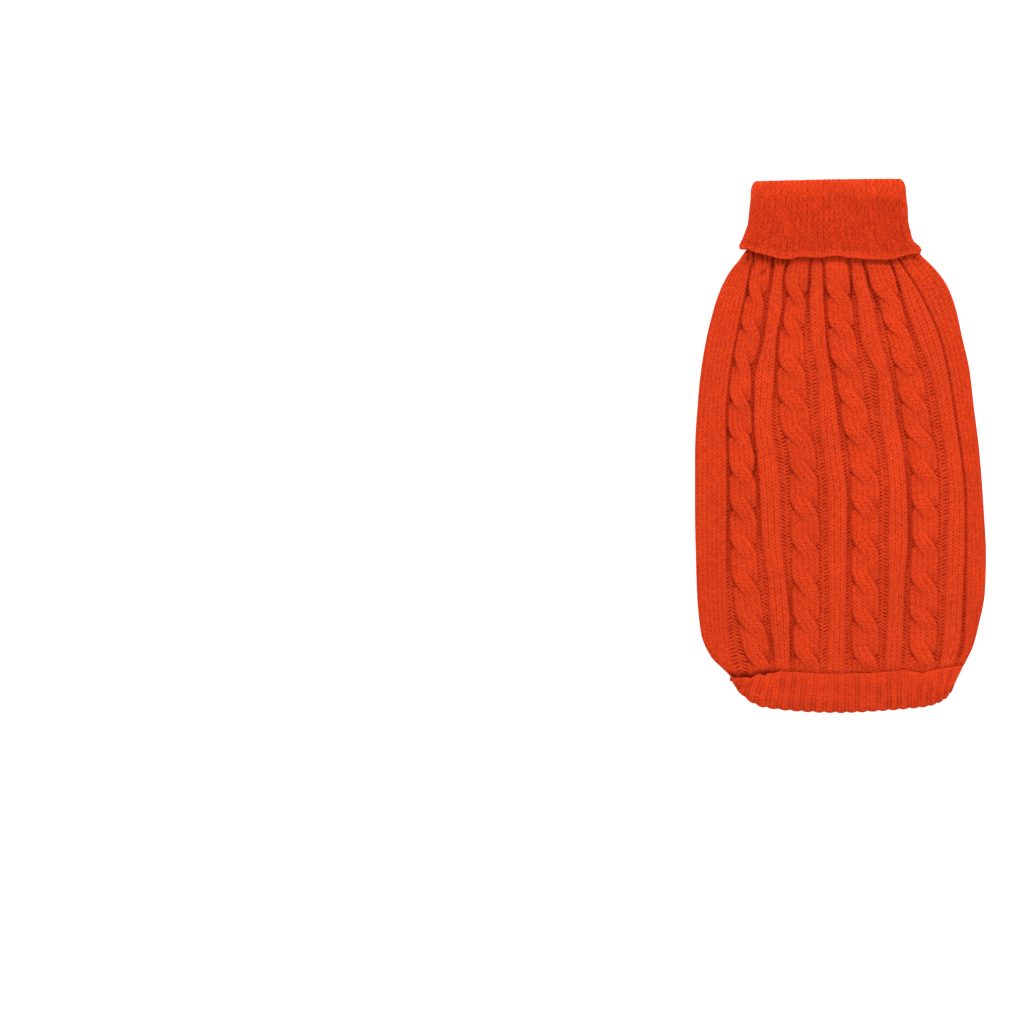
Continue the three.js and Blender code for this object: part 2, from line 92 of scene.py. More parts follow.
# Sections of the body: height, side edges, and how much higher the right end lies
BODY = {
    "y": (117.2, 114.0, 111.0, 108.0, 105.0, 99.0, 93.0, 87.0, 80.4, 66.0, 44.4, 26.4, -6.0, -38.4, -67.2,
          -88.8, -110.4, -124.8, -131.5, -136.6),
    "left": (-57.0, -58.6, -61.4, -64.0, -66.4, -70.0, -72.8, -75.0, -77.0, -80.6, -84.3, -86.1, -87.9,
             -87.9, -87.3, -86.6, -84.3, -78.0, -71.8, -66.2),
    "right": (44.6, 47.0, 50.8, 54.0, 56.9, 61.6, 64.9, 67.2, 69.2, 72.3, 77.1, 79.2, 83.1, 85.5, 86.9,
              86.3, 82.5, 78.8, 75.9, 73.6),
    "tilt": (0, 0, 0, 0, 0, 0, 0, 0, 0, 0, 0, 0, 0, 0.8, 1.8, 2.8, 4.6, 6.4, 7.4, 8.2),
}
# The back's knitted bands from left to right: kind and how many wales
BANDS = (("plain", 7), ("purl", 2), ("cable", 6), ("purl", 2), ("column", 3), ("purl", 2), ("cable", 6),
         ("purl", 2), ("column", 3), ("purl", 2), ("cable", 6), ("purl", 2), ("column", 3), ("purl", 2),
         ("cable", 6), ("purl", 2), ("column", 3), ("purl", 1), ("plain", 5))
# Where one band meets the next, from left to right, at each height
BAND_EDGES = {
    117.2: (-49.5, -48.5, -40.0, -37.0, -31.0, -29.2, -18.0, -16.4, -10.8, -9.1, 3.4, 5.6, 11.4, 13.0,
            26.2, 27.8, 32.0, 33.2),
    110: (-54.3, -53.1, -42.9, -39.9, -33.3, -31.5, -19.5, -17.7, -11.7, -9.9, 3.9, 6.3, 12.3, 14.1, 28.5,
          30.3, 34.5, 35.7),
    99: (-56.4, -55.2, -43.4, -41.2, -35.7, -33.9, -20.1, -18.3, -11.4, -9.6, 4.8, 6.6, 14.7, 16.8, 32.7,
         34.2, 41.7, 42.9),
    87: (-58.8, -57.6, -46.2, -43.2, -35.7, -33.3, -21.0, -18.9, -10.8, -8.7, 6.3, 9.3, 18.0, 21.9, 35.4,
         37.5, 48.9, 49.8),
    63: (-63.9, -62.7, -48.9, -46.5, -39.3, -37.5, -22.5, -18.0, -9.3, -7.8, 8.7, 12.0, 23.1, 27.9, 42.3,
         45.9, 59.1, 60.3),
    39: (-67.8, -66.6, -54.3, -51.9, -40.5, -38.7, -21.0, -14.1, -5.7, -3.0, 12.9, 21.9, 29.7, 33.0, 49.5,
         54.3, 64.5, 65.7),
    15: (-69.6, -68.1, -54.0, -52.5, -42.3, -36.9, -18.9, -13.5, -2.4, 0.3, 16.5, 23.1, 33.3, 36.6, 53.1,
         59.1, 68.1, 69.6),
    -9: (-69.0, -67.5, -52.2, -50.1, -39.3, -31.5, -15.0, -10.2, 0.3, 4.5, 21.9, 27.3, 37.5, 40.8, 57.6,
         62.7, 71.7, 73.2),
    -33: (-69.0, -67.2, -51.0, -48.6, -36.9, -31.2, -13.8, -8.1, 3.3, 5.7, 23.1, 28.8, 39.3, 42.0, 58.8,
          64.5, 73.8, 75.3),
    -57: (-69.3, -66.9, -50.7, -47.4, -36.3, -30.3, -12.9, -8.1, 3.0, 6.0, 22.5, 28.2, 39.9, 42.3, 58.5,
          63.3, 74.1, 75.6),
    -81: (-69.3, -65.7, -49.5, -44.1, -33.6, -30.0, -12.9, -7.5, 2.7, 6.0, 22.8, 28.2, 37.8, 41.1, 58.2,
          63.0, 73.2, 75.3),
    -105: (-68.4, -63.0, -46.2, -42.6, -31.2, -29.1, -12.9, -7.5, 2.1, 6.0, 22.5, 27.6, 36.9, 40.5, 57.9,
           62.1, 72.3, 74.7),
    -123: (-67.5, -58.2, -43.2, -40.2, -31.2, -28.8, -13.2, -8.4, 2.1, 6.0, 22.5, 26.7, 36.3, 40.5, 57.3,
           60.9, 70.8, 74.0),
    -136.6: (-62.5, -55.2, -42.9, -39.3, -31.5, -27.9, -12.9, -8.7, 1.5, 6.3, 21.9, 26.1, 35.1, 40.5,
             56.0, 59.0, 66.5, 69.8),
}
# Heights at which the cables' strands cross
CROSSINGS = (89.8, 70.0, 47.8, 25.6, 5.2, -17.0, -38.0, -60.8, -83.6, -105.8, -127.4)
# Level of the belly's underside, which rises over the collar's lower layer at the neck
BELLY = {
    "y": (117.2, 114.6, 111.0, 107.0, 104.0, -137.0),
    "z": (2.5, 2.5, 1.5, 0.25, 0.0, 0.0),
}
# The hem's seam and its free edge from left to right, and where its ribs start on the one and end at the
# other
HEM_SEAM = ((-66.6, -139.4), (-61.7, -139.9), (-57.3, -139.5), (-54.9, -140.3), (-51.6, -137.9),
            (-49.2, -137.4), (-46.9, -138.5), (-44.1, -137.0), (-41.7, -137.4), (-36.9, -135.7),
            (-32.1, -136.7), (-27.3, -136.3), (-12.9, -137.6), (5.1, -137.3), (18.0, -137.0),
            (32.1, -136.0), (38.1, -135.2), (46.0, -136.5), (49.2, -137.0), (54.0, -135.6),
            (62.1, -134.2), (69.3, -133.0), (73.4, -132.4))
HEM_FREE = ((-66.3, -141.0), (-63.3, -146.4), (-59.1, -150.6), (-54.9, -153.9), (-48.9, -156.6),
            (-42.9, -157.5), (-36.9, -158.3), (-24.9, -159.3), (-12.9, -159.9), (-0.9, -160.1),
            (11.1, -159.7), (23.1, -159.0), (35.1, -158.1), (47.1, -157.0), (53.1, -156.2),
            (59.1, -154.2), (63.9, -151.2), (65.4, -148.2))
HEM_RIB_ENDS = ((-66.6, -66.3), (-62.0, -64.9), (-57.0, -61.4), (-51.0, -56.2), (-45.0, -49.9),
                (-39.9, -44.2), (-31.0, -34.2), (-21.9, -24.2), (-12.0, -13.2), (0.0, -0.5), (20.0, 20.0),
                (45.0, 44.6), (57.0, 55.4), (66.0, 61.6), (73.4, 65.4))
# Rows of the collar from its free edge up, and how that edge runs
COLLAR = {
    "leftX": (-61.3, -61.0, -60.0, -58.9, -57.6, -56.1, -55.1, -54.5, -54.0),
    "leftY": (117.6, 119.6, 121.6, 124.2, 127.8, 132.6, 138.8, 146.4, 153.6),
    "midY": (112.6, 115.6, 119.0, 123.2, 128.0, 133.8, 140.4, 147.4, 154.6),
    "rightX": (47.4, 47.9, 46.4, 43.6, 42.0, 40.7, 39.8, 38.8, 38.1),
    "rightY": (114.9, 117.2, 119.4, 121.6, 124.8, 130.0, 137.0, 146.0, 155.0),
}
COLLAR_FREE = ((-61.3, 118.0), (-58.5, 116.7), (-56.1, 115.8), (-53.7, 115.2), (-47.7, 114.0),
               (-44.7, 113.1), (-41.7, 112.2), (-36.9, 111.9), (-32.7, 111.6), (-30.3, 112.5),
               (-27.9, 113.1), (-24.9, 113.1), (-18.9, 112.8), (-14.1, 112.5), (-10.5, 113.1),
               (-5.7, 113.7), (-0.9, 113.7), (2.1, 113.1), (5.1, 112.5), (11.1, 112.2), (17.1, 111.6),
               (23.1, 111.6), (30.3, 111.3), (35.1, 111.9), (38.1, 112.8), (41.1, 113.7), (44.1, 114.3),
               (47.4, 114.9))
FOLD_RISE = 4.4
LEG = {"y": 44.0, "out": 40.0, "half_x": 24.0, "half_y": 33.0, "cuff": 11.0, "ribs": 26}
# Pits between the gathers under the collar: x, how far they run down, depth, half width, and how they lean
PITS = (
    (-56.0, 5, 1.3, 0.8, 0), (-52.9, 10, 1.8, 0.9, 0), (-50.3, 5, 1.1, 0.8, 0), (-47.8, 7, 1.5, 0.9, 0.1),
    (-44.6, 7.5, 1.3, 0.8, 0), (-41.1, 9.5, 2.2, 1.1, 0), (-38.2, 6, 1.2, 0.8, 0),
    (-35.1, 6, 1.7, 1.0, 0), (-31.3, 8.5, 1.7, 1.0, -0.24), (-26.7, 2.5, 1.1, 1.0, 0),
    (-22.2, 2.5, 0.8, 0.9, 0), (-18.0, 4, 1.7, 1.1, 0), (-12.9, 6.5, 1.6, 1.0, 0.42),
    (-9.2, 3, 0.9, 0.9, 0), (-5.4, 4.5, 1.4, 1.0, 0), (-1.0, 4.5, 1.2, 0.9, 0), (1.6, 3.5, 0.8, 0.8, 0),
    (4.6, 6.5, 1.7, 1.1, -0.06), (8.2, 4.5, 1.2, 0.9, 0.1), (13.6, 6.5, 1.6, 1.1, -0.15),
    (17.7, 4.5, 0.9, 0.8, 0), (20.7, 3, 1.0, 0.9, 0), (24.3, 4, 0.9, 0.8, 0.1), (29.1, 4.5, 1.8, 1.2, 0),
    (33.0, 10, 1.3, 0.8, 0.75), (37.5, 4, 1.2, 0.9, 0), (43.5, 3.5, 0.9, 1.0, 0),
)
# Slits where a gutter is pinched shut: x, y of the middle, half length, half width, depth, lean
SLITS = (
    (-56.6, 92.0, 5.5, 0.8, 1.2, 0.1), (-19.8, 94.0, 5.0, 0.8, 1.6, 0.22),
    (-10.2, 91.0, 5.0, 0.8, 1.3, 0.1), (5.7, 93.5, 6.5, 0.8, 1.6, 0.05),
    (16.4, 98.0, 7.0, 0.7, 1.5, -0.15), (20.5, 86.5, 6.5, 0.8, 1.6, -0.3),
    (34.2, 94.6, 4.0, 0.9, 1.5, -0.3), (-47.4, 103.0, 2.6, 1.6, 1.1, 0.3),
    (-53.2, -1.5, 6.0, 0.8, 1.6, -0.33), (-52.0, -12.5, 7.0, 0.8, 1.6, 0.12),
    (-68.3, 6.0, 4.0, 0.8, 1.3, 0.05),
)
NECK_SEAM = {"leftX": -58.2, "rightX": 47.8, **dict.fromkeys(("leftY", "midY", "rightY"), NECK_Y + SEAM)}
CORNER = 2.2          # radius of the collar's upper corners
HEM_SIDE = 0.9        # how far the hem's rounded sides stand out

back_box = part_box("back_panel")
belly_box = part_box("belly_panel")
SHIFT = np.array([belly_box[0][0] / MM - BODY_LEFT, back_box[1][1] / MM - NECK_Y, 0.0])


# Curves and tables

def smooth(x, low, high):
    t = np.clip((np.asarray(x, float) - low) / (high - low), 0, 1)
    return t * t * (3 - 2 * t)


def bell(away, reach):
    return np.exp(-(away / reach) ** 2)


def off_middle(u):
    """0 in the middle of a wale or rib, and 1 where it meets the next."""
    return np.abs(2 * (u % 1) - 1)


def line_at(line, x):
    """Second value of a line of pairs at the first values x."""
    return np.interp(x, *np.array(line).T)


def along(table, key, y):
    """A named column of a table at the heights y, on a smooth curve through its rows."""
    ys = np.array(table["y"][::-1], float)
    values = np.array(table[key][::-1], float)
    step = np.diff(ys)
    slope = np.diff(values) / step
    product, total = slope[:-1] * slope[1:], slope[:-1] + slope[1:]
    inner = np.where(product > 0, 2 * product / np.where(total == 0, 1, total), 0)
    tangent = np.concatenate([[slope[0]], inner, [slope[-1]]])
    y = np.clip(np.asarray(y, float), ys[0], ys[-1])
    i = np.clip(np.searchsorted(ys, y, side="right") - 1, 0, len(ys) - 2)
    t = (y - ys[i]) / step[i]
    t2, t3 = t * t, t * t * t
    return (values[i] * (2 * t3 - 3 * t2 + 1) + values[i + 1] * (3 * t2 - 2 * t3)
            + step[i] * (tangent[i] * (t3 - 2 * t2 + t) + tangent[i + 1] * (t3 - t2)))


def row_at(table, t):
    """The named columns of a table at t, from 0 at its first row to 1 at its last."""
    places = np.linspace(0, 1, len(table["leftX"]))
    return {key: np.interp(t, places, values) for key, values in table.items()}


def ripple(x, y, seed):
    """A soft unevenness between about -1 and 1, the same on every run."""
    rng = np.random.default_rng(seed)
    total = np.zeros(np.broadcast(x, y).shape)
    lengths = (95.0, 60.0, 38.0, 24.0)
    for length in lengths:
        angle = rng.uniform(0, 2 * math.pi)
        phase = rng.uniform(0, 2 * math.pi)
        total = total + np.sin(2 * math.pi * (x * math.cos(angle) + y * math.sin(angle)) / length + phase)
    return total / len(lengths)


# Meshes

def grid_quads(rows, columns, start=0, turned=False, wrap=False):
    """Quads of a grid of points whose first index is start; wrap closes its columns to a ring."""
    i = np.arange(rows - 1)[:, None]
    j = np.arange(columns if wrap else columns - 1)[None, :]
    k = (j + 1) % columns
    a, b = i * columns + j, i * columns + k
    c, d = (i + 1) * columns + k, (i + 1) * columns + j
    quads = np.stack([a, b, c, d] if turned else [a, d, c, b], axis=-1).reshape(-1, 4)
    return quads + start


def ring_quads(rims, columns):
    """Quads of closed rims of points, the last of which joins the first."""
    j = np.arange(columns)
    k = (j + 1) % columns
    last = (rims - 1) * columns
    join = np.stack([last + j, j, k, last + k], axis=-1)
    return np.concatenate([grid_quads(rims, columns, wrap=True), join])


def zip_lines(line_a, line_b, turned=False):
    """Triangles between two lines of points that run side by side, whatever their counts."""
    faces, i, j = [], 0, 0
    last_a, last_b = len(line_a) - 1, len(line_b) - 1
    while i < last_a or j < last_b:
        if j == last_b or (i < last_a and (i + 1) / last_a <= (j + 1) / last_b):
            face = (line_a[i], line_a[i + 1], line_b[j])
            i += 1
        else:
            face = (line_a[i], line_b[j + 1], line_b[j])
            j += 1
        faces.append(face[::-1] if turned else face)
    return faces


def put_down(name, points, quads, triangles, fields, uv, material):
    """A mesh object from points in millimetres, with its float fields and its stitch coordinates."""
    points = (np.asarray(points).reshape(-1, 3) + SHIFT) * MM
    quads = np.asarray(quads, int).reshape(-1, 4)
    triangles = np.asarray(triangles, int).reshape(-1, 3)
    volume = 0.0
    for faces in (quads[:, [0, 1, 2]], quads[:, [0, 2, 3]], triangles):
        a, b, c = points[faces[:, 0]], points[faces[:, 1]], points[faces[:, 2]]
        volume += float(np.einsum("ij,ij->i", a, np.cross(b, c)).sum())
    if volume < 0:
        quads, triangles = quads[:, ::-1], triangles[:, ::-1]
    mesh = bpy.data.meshes.new(name)
    corners = np.concatenate([quads.ravel(), triangles.ravel()])
    sizes = np.concatenate([np.full(len(quads), 4), np.full(len(triangles), 3)])
    mesh.vertices.add(len(points))
    mesh.vertices.foreach_set("co", points.ravel())
    mesh.loops.add(len(corners))
    mesh.loops.foreach_set("vertex_index", corners)
    mesh.polygons.add(len(sizes))
    mesh.polygons.foreach_set("loop_start", np.concatenate([[0], np.cumsum(sizes)[:-1]]))
    mesh.polygons.foreach_set("use_smooth", np.ones(len(sizes), bool))
    mesh.update(calc_edges=True)
    for key, values in fields.items():
        attribute = mesh.attributes.new(key, "FLOAT", "POINT")
        attribute.data.foreach_set("value", np.asarray(values, np.float32).ravel())
    layer = mesh.uv_layers.new(name="stitches")
    layer.data.foreach_set("uv", np.asarray(uv, np.float32).reshape(-1, 2)[corners].ravel())
    mesh.materials.append(material)
    piece = bpy.data.objects.new(name, mesh)
    bpy.context.scene.collection.objects.link(piece)
    return piece


def wall(outer, inner, fields, inner_fields, uv, inner_uv):
    """A closed wall: a fine outer grid with its relief, and a plain inner one."""
    top = np.arange(outer[..., 0].size).reshape(outer.shape[:2])
    base = top.size + np.arange(inner[..., 0].size).reshape(inner.shape[:2])
    triangles = (zip_lines(top[0], base[0], True) + zip_lines(top[-1], base[-1])
                 + zip_lines(top[:, 0], base[:, 0]) + zip_lines(top[:, -1], base[:, -1], True))
    outer_uv = np.stack(np.broadcast_arrays(*uv), axis=-1).reshape(-1, 2)
    return {
        "points": np.concatenate([outer.reshape(-1, 3), inner.reshape(-1, 3)]),
        "quads": np.concatenate([grid_quads(*top.shape), grid_quads(*base.shape, top.size, turned=True)]),
        "triangles": np.array(triangles),
        "uv": np.concatenate([outer_uv, inner_uv]),
        "fields": {key: np.concatenate([np.broadcast_to(values, top.shape).ravel(),
                                        np.full(base.size, inner_fields[key])])
                   for key, values in fields.items()},
    }


def put_walls(name, walls, material):
    """One mesh object of closed walls."""
    start = 0
    for part in walls:
        part["quads"] += start
        part["triangles"] += start
        start += len(part["points"])
    points, quads, triangles, uv = (np.concatenate([part[key] for part in walls])
                                    for key in ("points", "quads", "triangles", "uv"))
    fields = {key: np.concatenate([part["fields"][key] for part in walls]) for key in walls[0]["fields"]}
    return put_down(name, points, quads, triangles, fields, uv, material)


def grid_normals(points, wrap=False):
    """Unit normals of a grid of points, rows by columns."""
    if wrap:
        padded = np.concatenate([points[:, -1:], points, points[:, :1]], axis=1)
        across = (padded[:, 2:] - padded[:, :-2]) / 2
    else:
        across = np.gradient(points, axis=1)
    down = np.gradient(points, axis=0)
    normal = np.cross(across, down)
    return normal / np.maximum(np.linalg.norm(normal, axis=-1, keepdims=True), 1e-9)


def up_normals(points):
    normals = grid_normals(points)
    return normals * np.sign(normals[:, :, 2:3] + 1e-6)


# Stitches. u runs across one wale from 0 to 1 and v counts rows downwards.

def scatter(i, j, seed):
    """A number from 0 to 1 for each pair of whole numbers, the same on every run."""
    tangled = np.sin(np.asarray(i) * 12.9898 + np.asarray(j) * 78.233 + seed * 37.719) * 43758.5453
    return tangled - np.floor(tangled)


def unevenness(wale, row, seed):
    """A small difference from stitch to stitch, about 1."""
    return 0.82 + 0.36 * scatter(np.floor(wale), np.floor(row), seed)


def patches(line, along_it, seed):
    """A soft run of values from 0 to 1 along each numbered line."""
    low = np.floor(along_it)
    t = smooth(along_it - low, 0, 1)
    return scatter(line, low, seed) * (1 - t) + scatter(line, low + 1, seed) * t


def knit_relief(u, v, wale, split=0.0):
    """A wale of two legs: near 0 in the holes beside them and, where it is split, between them."""
    side = off_middle(u)
    hole = 0.5 + 0.5 * np.cos(2 * np.pi * v)
    first = 0.4 + 0.8 * scatter(wale, np.round(v), 2)
    second = 0.3 + 0.8 * scatter(wale, np.floor(v), 3)
    outer = bell(1 - side, 0.42) * (0.25 + 0.55 * hole * first)
    inner = bell(side, 0.42) * (0.05 + 0.15 * split + 0.5 * (1 - hole) * second)
    return np.clip(1 - outer - inner, 0, 1)


def purl_relief(u, v, wale):
    """Short bars that lie across the wale, with a low pit between each and the next, which is also painted
    dark as shade.
    """
    bar = 0.5 - 0.5 * np.cos(2 * np.pi * v)
    across = np.sin(np.pi * (u % 1)) ** 0.6
    pit = (1 - bar) * across * (0.5 + 0.7 * scatter(wale, np.round(v), 6))
    return np.clip(0.62 + 0.38 * bar * across - 0.8 * pit, 0, 1)


def leaning_rows(rows, row_lines, slant):
    """Rows of a grid's lines and of its points, which climb with the stitches' legs but not at its ends."""
    v_line = (np.arange(rows + 1) / row_lines)[:, None]
    ends = np.minimum(smooth(v_line, 0, 2), smooth(v_line[-1] - v_line, 0, 2))
    return v_line, v_line + slant * ends


# The body's panels

def near_neck(y):
    """0 where the body has its full wall, and 1 at the collar's seam."""
    return smooth(y, 104, 114)


def body_wall(y):
    return WALL + (RIB_WALL - WALL) * near_neck(y)


def belly_top(y):
    return along(BELLY, "z", y) + body_wall(y)


def back_floor(y):
    """Height of the back's underside."""
    return belly_top(y) + SEAM + 0.1 * near_neck(y)


def seam_sway(x, y):
    """How far the cloth near the hem is moved up so that its end follows the wandering seam."""
    left, right, tilt = (BODY[key][-1] for key in ("left", "right", "tilt"))
    straight = HEM_SEAM_Y + tilt * ((x - left) / (right - left) - 0.5)
    wanted = line_at(HEM_SEAM, x) + SEAM
    return (wanted - straight) * (1 - smooth(y, HEM_SEAM_Y, HEM_SEAM_Y + 18))


def laid_y(x, y):
    """Where a point of row y comes to lie: rows tilt, and the last ones follow the hem's seam."""
    left, right = along(BODY, "left", y), along(BODY, "right", y)
    return y + along(BODY, "tilt", y) * ((x - left) / (right - left) - 0.5) + seam_sway(x, y)


def round_edge(x, left, right):
    """Turns the cloth's arc length near a side edge into a rounded rim: new x, and height from 0 to 1."""
    from_left = np.clip(x - (left - ARC), 0, None)
    from_right = np.clip((right + ARC) - x, 0, None)
    near = np.minimum(from_left, from_right)
    angle = np.clip(near / EDGE, 0, math.pi / 2)
    inset = np.where(near < EDGE * math.pi / 2, EDGE * (1 - np.cos(angle)), near - ARC)
    return np.where(from_left < from_right, left + inset, right - inset), np.sin(angle)


def body_rows(row_lines, slant):
    """Row numbers of a panel's lines and points, and the points' heights."""
    length = NECK_Y - HEM_SEAM_Y
    v_line, v = leaning_rows(int(round(length / ROW * row_lines)), row_lines, slant)
    return v_line, v, NECK_Y - v * (length / v_line[-1])


def inner_side(level):
    """The plain grid of a panel's inner side, at the height that level gives."""
    s = np.linspace(0, 1, INNER_COLUMNS)
    y = np.repeat(np.linspace(NECK_Y, HEM_SEAM_Y, INNER_ROWS)[:, None], INNER_COLUMNS, axis=1)
    left, right = along(BODY, "left", y), along(BODY, "right", y)
    x = left + (right - left) * s
    return np.stack([x, laid_y(x, y), level(y)], axis=-1)


def put_panel(name, outer, inner, fields, uv, material):
    inner_fields = dict.fromkeys(fields, 0.5)
    inner_uv = (inner[:, :, :2] / (WALE, ROW)).reshape(-1, 2)
    return put_walls(name, [wall(outer, inner, fields, inner_fields, uv, inner_uv)], material)


# Back

def back_layout():
    """For each line of points across the back: kind, wale, place in the wale, band and place in the band."""
    lines, wale = [], 0
    for band, (kind, count) in enumerate(BANDS):
        for index in range(count):
            for k in range(LINES[kind]):
                u = k / LINES[kind]
                lines.append((kind, wale, u, band, (index + u) / count))
            wale += 1
    lines.append(("plain", wale - 1, 1.0, len(BANDS) - 1, 1.0))
    return lines


def band_edge(k, y):
    """X where band k begins at the heights y; the outermost two lie beyond the rounded side edges."""
    if k == 0:
        return along(BODY, "left", y) - ARC
    if k == len(BANDS):
        return along(BODY, "right", y) + ARC
    column = {"y": tuple(BAND_EDGES), "x": tuple(row[k - 1] for row in BAND_EDGES.values())}
    return along(column, "x", y)


def bed_edge(k, y):
    """The same on the cloth that the cables lie on: the purl wales run on a little beneath each of them."""
    tuck = {2: TUCK, 3: -TUCK}.get(k % 4, 0.0) if 0 < k < len(BANDS) - 1 else 0.0
    return band_edge(k, y) + tuck


def place_lines(lines, y):
    """X of the back's points, and how wide the band is that each one lies in."""
    x, width = np.zeros_like(y), np.zeros_like(y)
    for j, (_, _, _, band, f) in enumerate(lines):
        start, end = bed_edge(band, y[:, j]), bed_edge(band + 1, y[:, j])
        x[:, j] = start + (end - start) * f
        width[:, j] = band_edge(band + 1, y[:, j]) - band_edge(band, y[:, j])
    return x, width


def band_height(kind, f, band):
    """Height of the back over its purl ground for a band, before the stitches."""
    side = np.abs(2 * f - 1)
    if kind == "plain":
        inward = f if band == 0 else 1 - f
        return PLAIN_RISE * (1 - np.clip(inward, 0, 1) ** 14) ** 0.5
    if kind == "purl":
        return 0.15 * side ** 2
    if kind == "column":
        return COLUMN_RISE * (1 - side ** 6) ** 0.5 * (1 - 0.12 * side ** 2)
    return 0.5


def neck_pits(x, y):
    """Depth of the gathers' pits, deepest at the collar's edge."""
    total = np.zeros(np.broadcast(x, y).shape)
    for place, run, depth, half, lean in PITS:
        down = np.clip((PITS_Y - y) / run, 0, 1)
        across = bell(x - place - lean * (PITS_Y - y), half)
        total = np.maximum(total, 0.85 * depth * (1 - down ** 2.5) * across)
    for place, middle, reach, half, depth, lean in SLITS:
        away = (y - middle) / reach
        across = bell(x - place - lean * (y - middle), half)
        total = np.maximum(total, depth * np.exp(-away ** 4) * across)
    return total


def under_collar(x, y):
    """How much painted shade the cloth gets under the collar's edge."""
    below = line_at(COLLAR_FREE, x) - y
    wide = 0.08 + 0.12 * (1 - smooth(x, -36, -28))
    return 0.22 * (1 - smooth(below, 0.6, 3.6)) + wide * (1 - smooth(below, 3, 9.5))


def seam_shade(x, y):
    """How much painted shade there is in the crease where the cloth dives into the hem's seam."""
    left = 1 - smooth(x, -44, -34)
    patchy = 0.3 + 1.3 * patches(0, np.asarray(x) / 3.1, 21)
    return (0.3 + 1.15 * left * patchy) * bell(y - HEM_SEAM_Y, 1.3 + 1.1 * left)


def relief_share(y):
    """How much of the bands' and cables' relief there is: none under the collar, less at the hem."""
    return smooth(-y, -112.4, -105.6) * (0.45 + 0.55 * smooth(y, HEM_SEAM_Y, HEM_SEAM_Y + 7))


def hem_roll(x, y):
    """The body puffs over the hem's seam and dives into it, most at the left."""
    away = y - HEM_SEAM_Y
    left = 0.35 + 0.9 * (1 - smooth(x, -45, -20))
    return left * bell(away - 3.0, 2.4) - 0.7 * bell(away, 0.9)


def build_back(material):
    lines = back_layout()
    kinds, wale, u = (np.array([line[k] for line in lines]) for k in range(3))
    purl, cable = kinds == "purl", kinds == "cable"
    zigzag = np.where(wale % 2 == 0, u, 1 - u)
    slant = np.where(purl, PURL_SLANT * zigzag, np.where(cable, 0.0, SLANT * (1 - off_middle(u))))
    v_line, v, y = body_rows(ROW_LINES, slant)
    x, width = place_lines(lines, y)
    x, rim = round_edge(x, along(BODY, "left", y), along(BODY, "right", y))
    share, neck, pits = relief_share(y), near_neck(y), neck_pits(x, y)
    height = np.array([band_height(kind, f, band) for kind, _, _, band, f in lines])
    ground = (GROUND + PLAIN_RISE) * (1 - neck) + RIB_WALL * neck - PLAIN_RISE * share
    full = ground + height * share + 0.25 * ripple(x, y, 3) * (1 - neck)
    z = back_floor(y) + (0.05 + 0.95 * rim) * full + rim * (hem_roll(x, y) - pits)
    points = np.stack([x, laid_y(x, y), z], axis=-1)

    grain = unevenness(wale, v_line, 1)
    split = np.where(kinds == "column", COLUMN_SPLIT, 0.0)
    brick = v_line + 0.5 * (wale % 2)
    bulge = np.where(purl, purl_relief(u, brick, wale), knit_relief(u, v, wale, split))
    bulge = np.where(cable, 0.6 - 0.4 * share, bulge)
    stand = bulge * grain * (np.where(purl, PURL, STITCH) * rim)
    outer = points + up_normals(points) * stand[:, :, None]

    # Painted shade: narrow purl gutters, the pits between purl bars, the cloth beneath the cables, the
    # gathers' pits, under the collar's edge and in the hem seam's crease.
    narrow = 0.55 - 0.52 * smooth(width, 2.0, 4.6)
    between_bars = 0.85 * np.clip(1 - 2.2 * bulge, 0, 1)
    low = np.where(purl, narrow + between_bars, np.where(cable, 0.12, 0.0)) * share
    hollow = np.maximum(low, pits * PIT_SHADE) + under_collar(x, y) + seam_shade(x, y) * rim ** 3
    # Low stitch values take the shaded yarn colour: painted shade in the holes and the purl pits.
    stitch = np.where(purl, np.clip(1.06 * bulge * grain, 0, 1), 0.9 + 0.1 * bulge)
    fields = {"stitch": stitch, "hollow": hollow, "loops": np.where(purl, 0.0, 1.0), "split": split}
    inner = inner_side(back_floor)
    inner[-1, :, 2] += LIP
    return put_panel("back_cloth", outer, inner, fields, (wale + u, v), material)


# Cables: two strands of three wales each, and each in turn crosses over from left to right

STRAND_WALES = 3
STRAND_LINES = 6
STRAND_HALF = 5.3          # half width of a strand across its path
STRAND_SWING = 3.6         # how far a strand's middle swings from the cable's middle
STRAND_RISE = 2.1          # crown of a strand over its edges
OVER_LIFT = 0.85           # how far the crossing strand is lifted
UNDER_DIP = 0.5
OVER_SHARE = 0.64          # share of the pitch that the strand on top takes to cross
UNDER_SHARE = 0.26         # and the strand beneath it
DIVE = 0.22                # and the painted shade where that one goes under


def crossings_passed(y):
    """How many crossings lie above a height, counting on evenly between them."""
    pitch = (CROSSINGS[0] - CROSSINGS[-1]) / (len(CROSSINGS) - 1)
    heights = (CROSSINGS[-1] - pitch, *CROSSINGS[::-1], CROSSINGS[0] + 2 * pitch)
    counts = (len(CROSSINGS), *range(len(CROSSINGS) - 1, -1, -1), -2)
    return np.interp(y, heights, counts)


def strand_path(turns, first):
    """Sideways place and lift of a strand, from -1 to 1, and how near it dives; turns counts crossings."""
    k = np.clip(np.round(turns), 0, len(CROSSINGS) - 1)
    over = (k % 2 == 0) == first
    away = turns - k
    across = np.pi / 2 * np.clip(away / (OVER_SHARE / 2), -1, 1)
    beneath = np.pi / 2 * np.clip(away / (UNDER_SHARE / 2), -1, 1)
    side = np.where(over, np.sin(across), -np.sin(beneath))
    return side, np.where(over, 1, -1) * np.cos(across), np.where(over, 0.0, bell(away, DIVE))


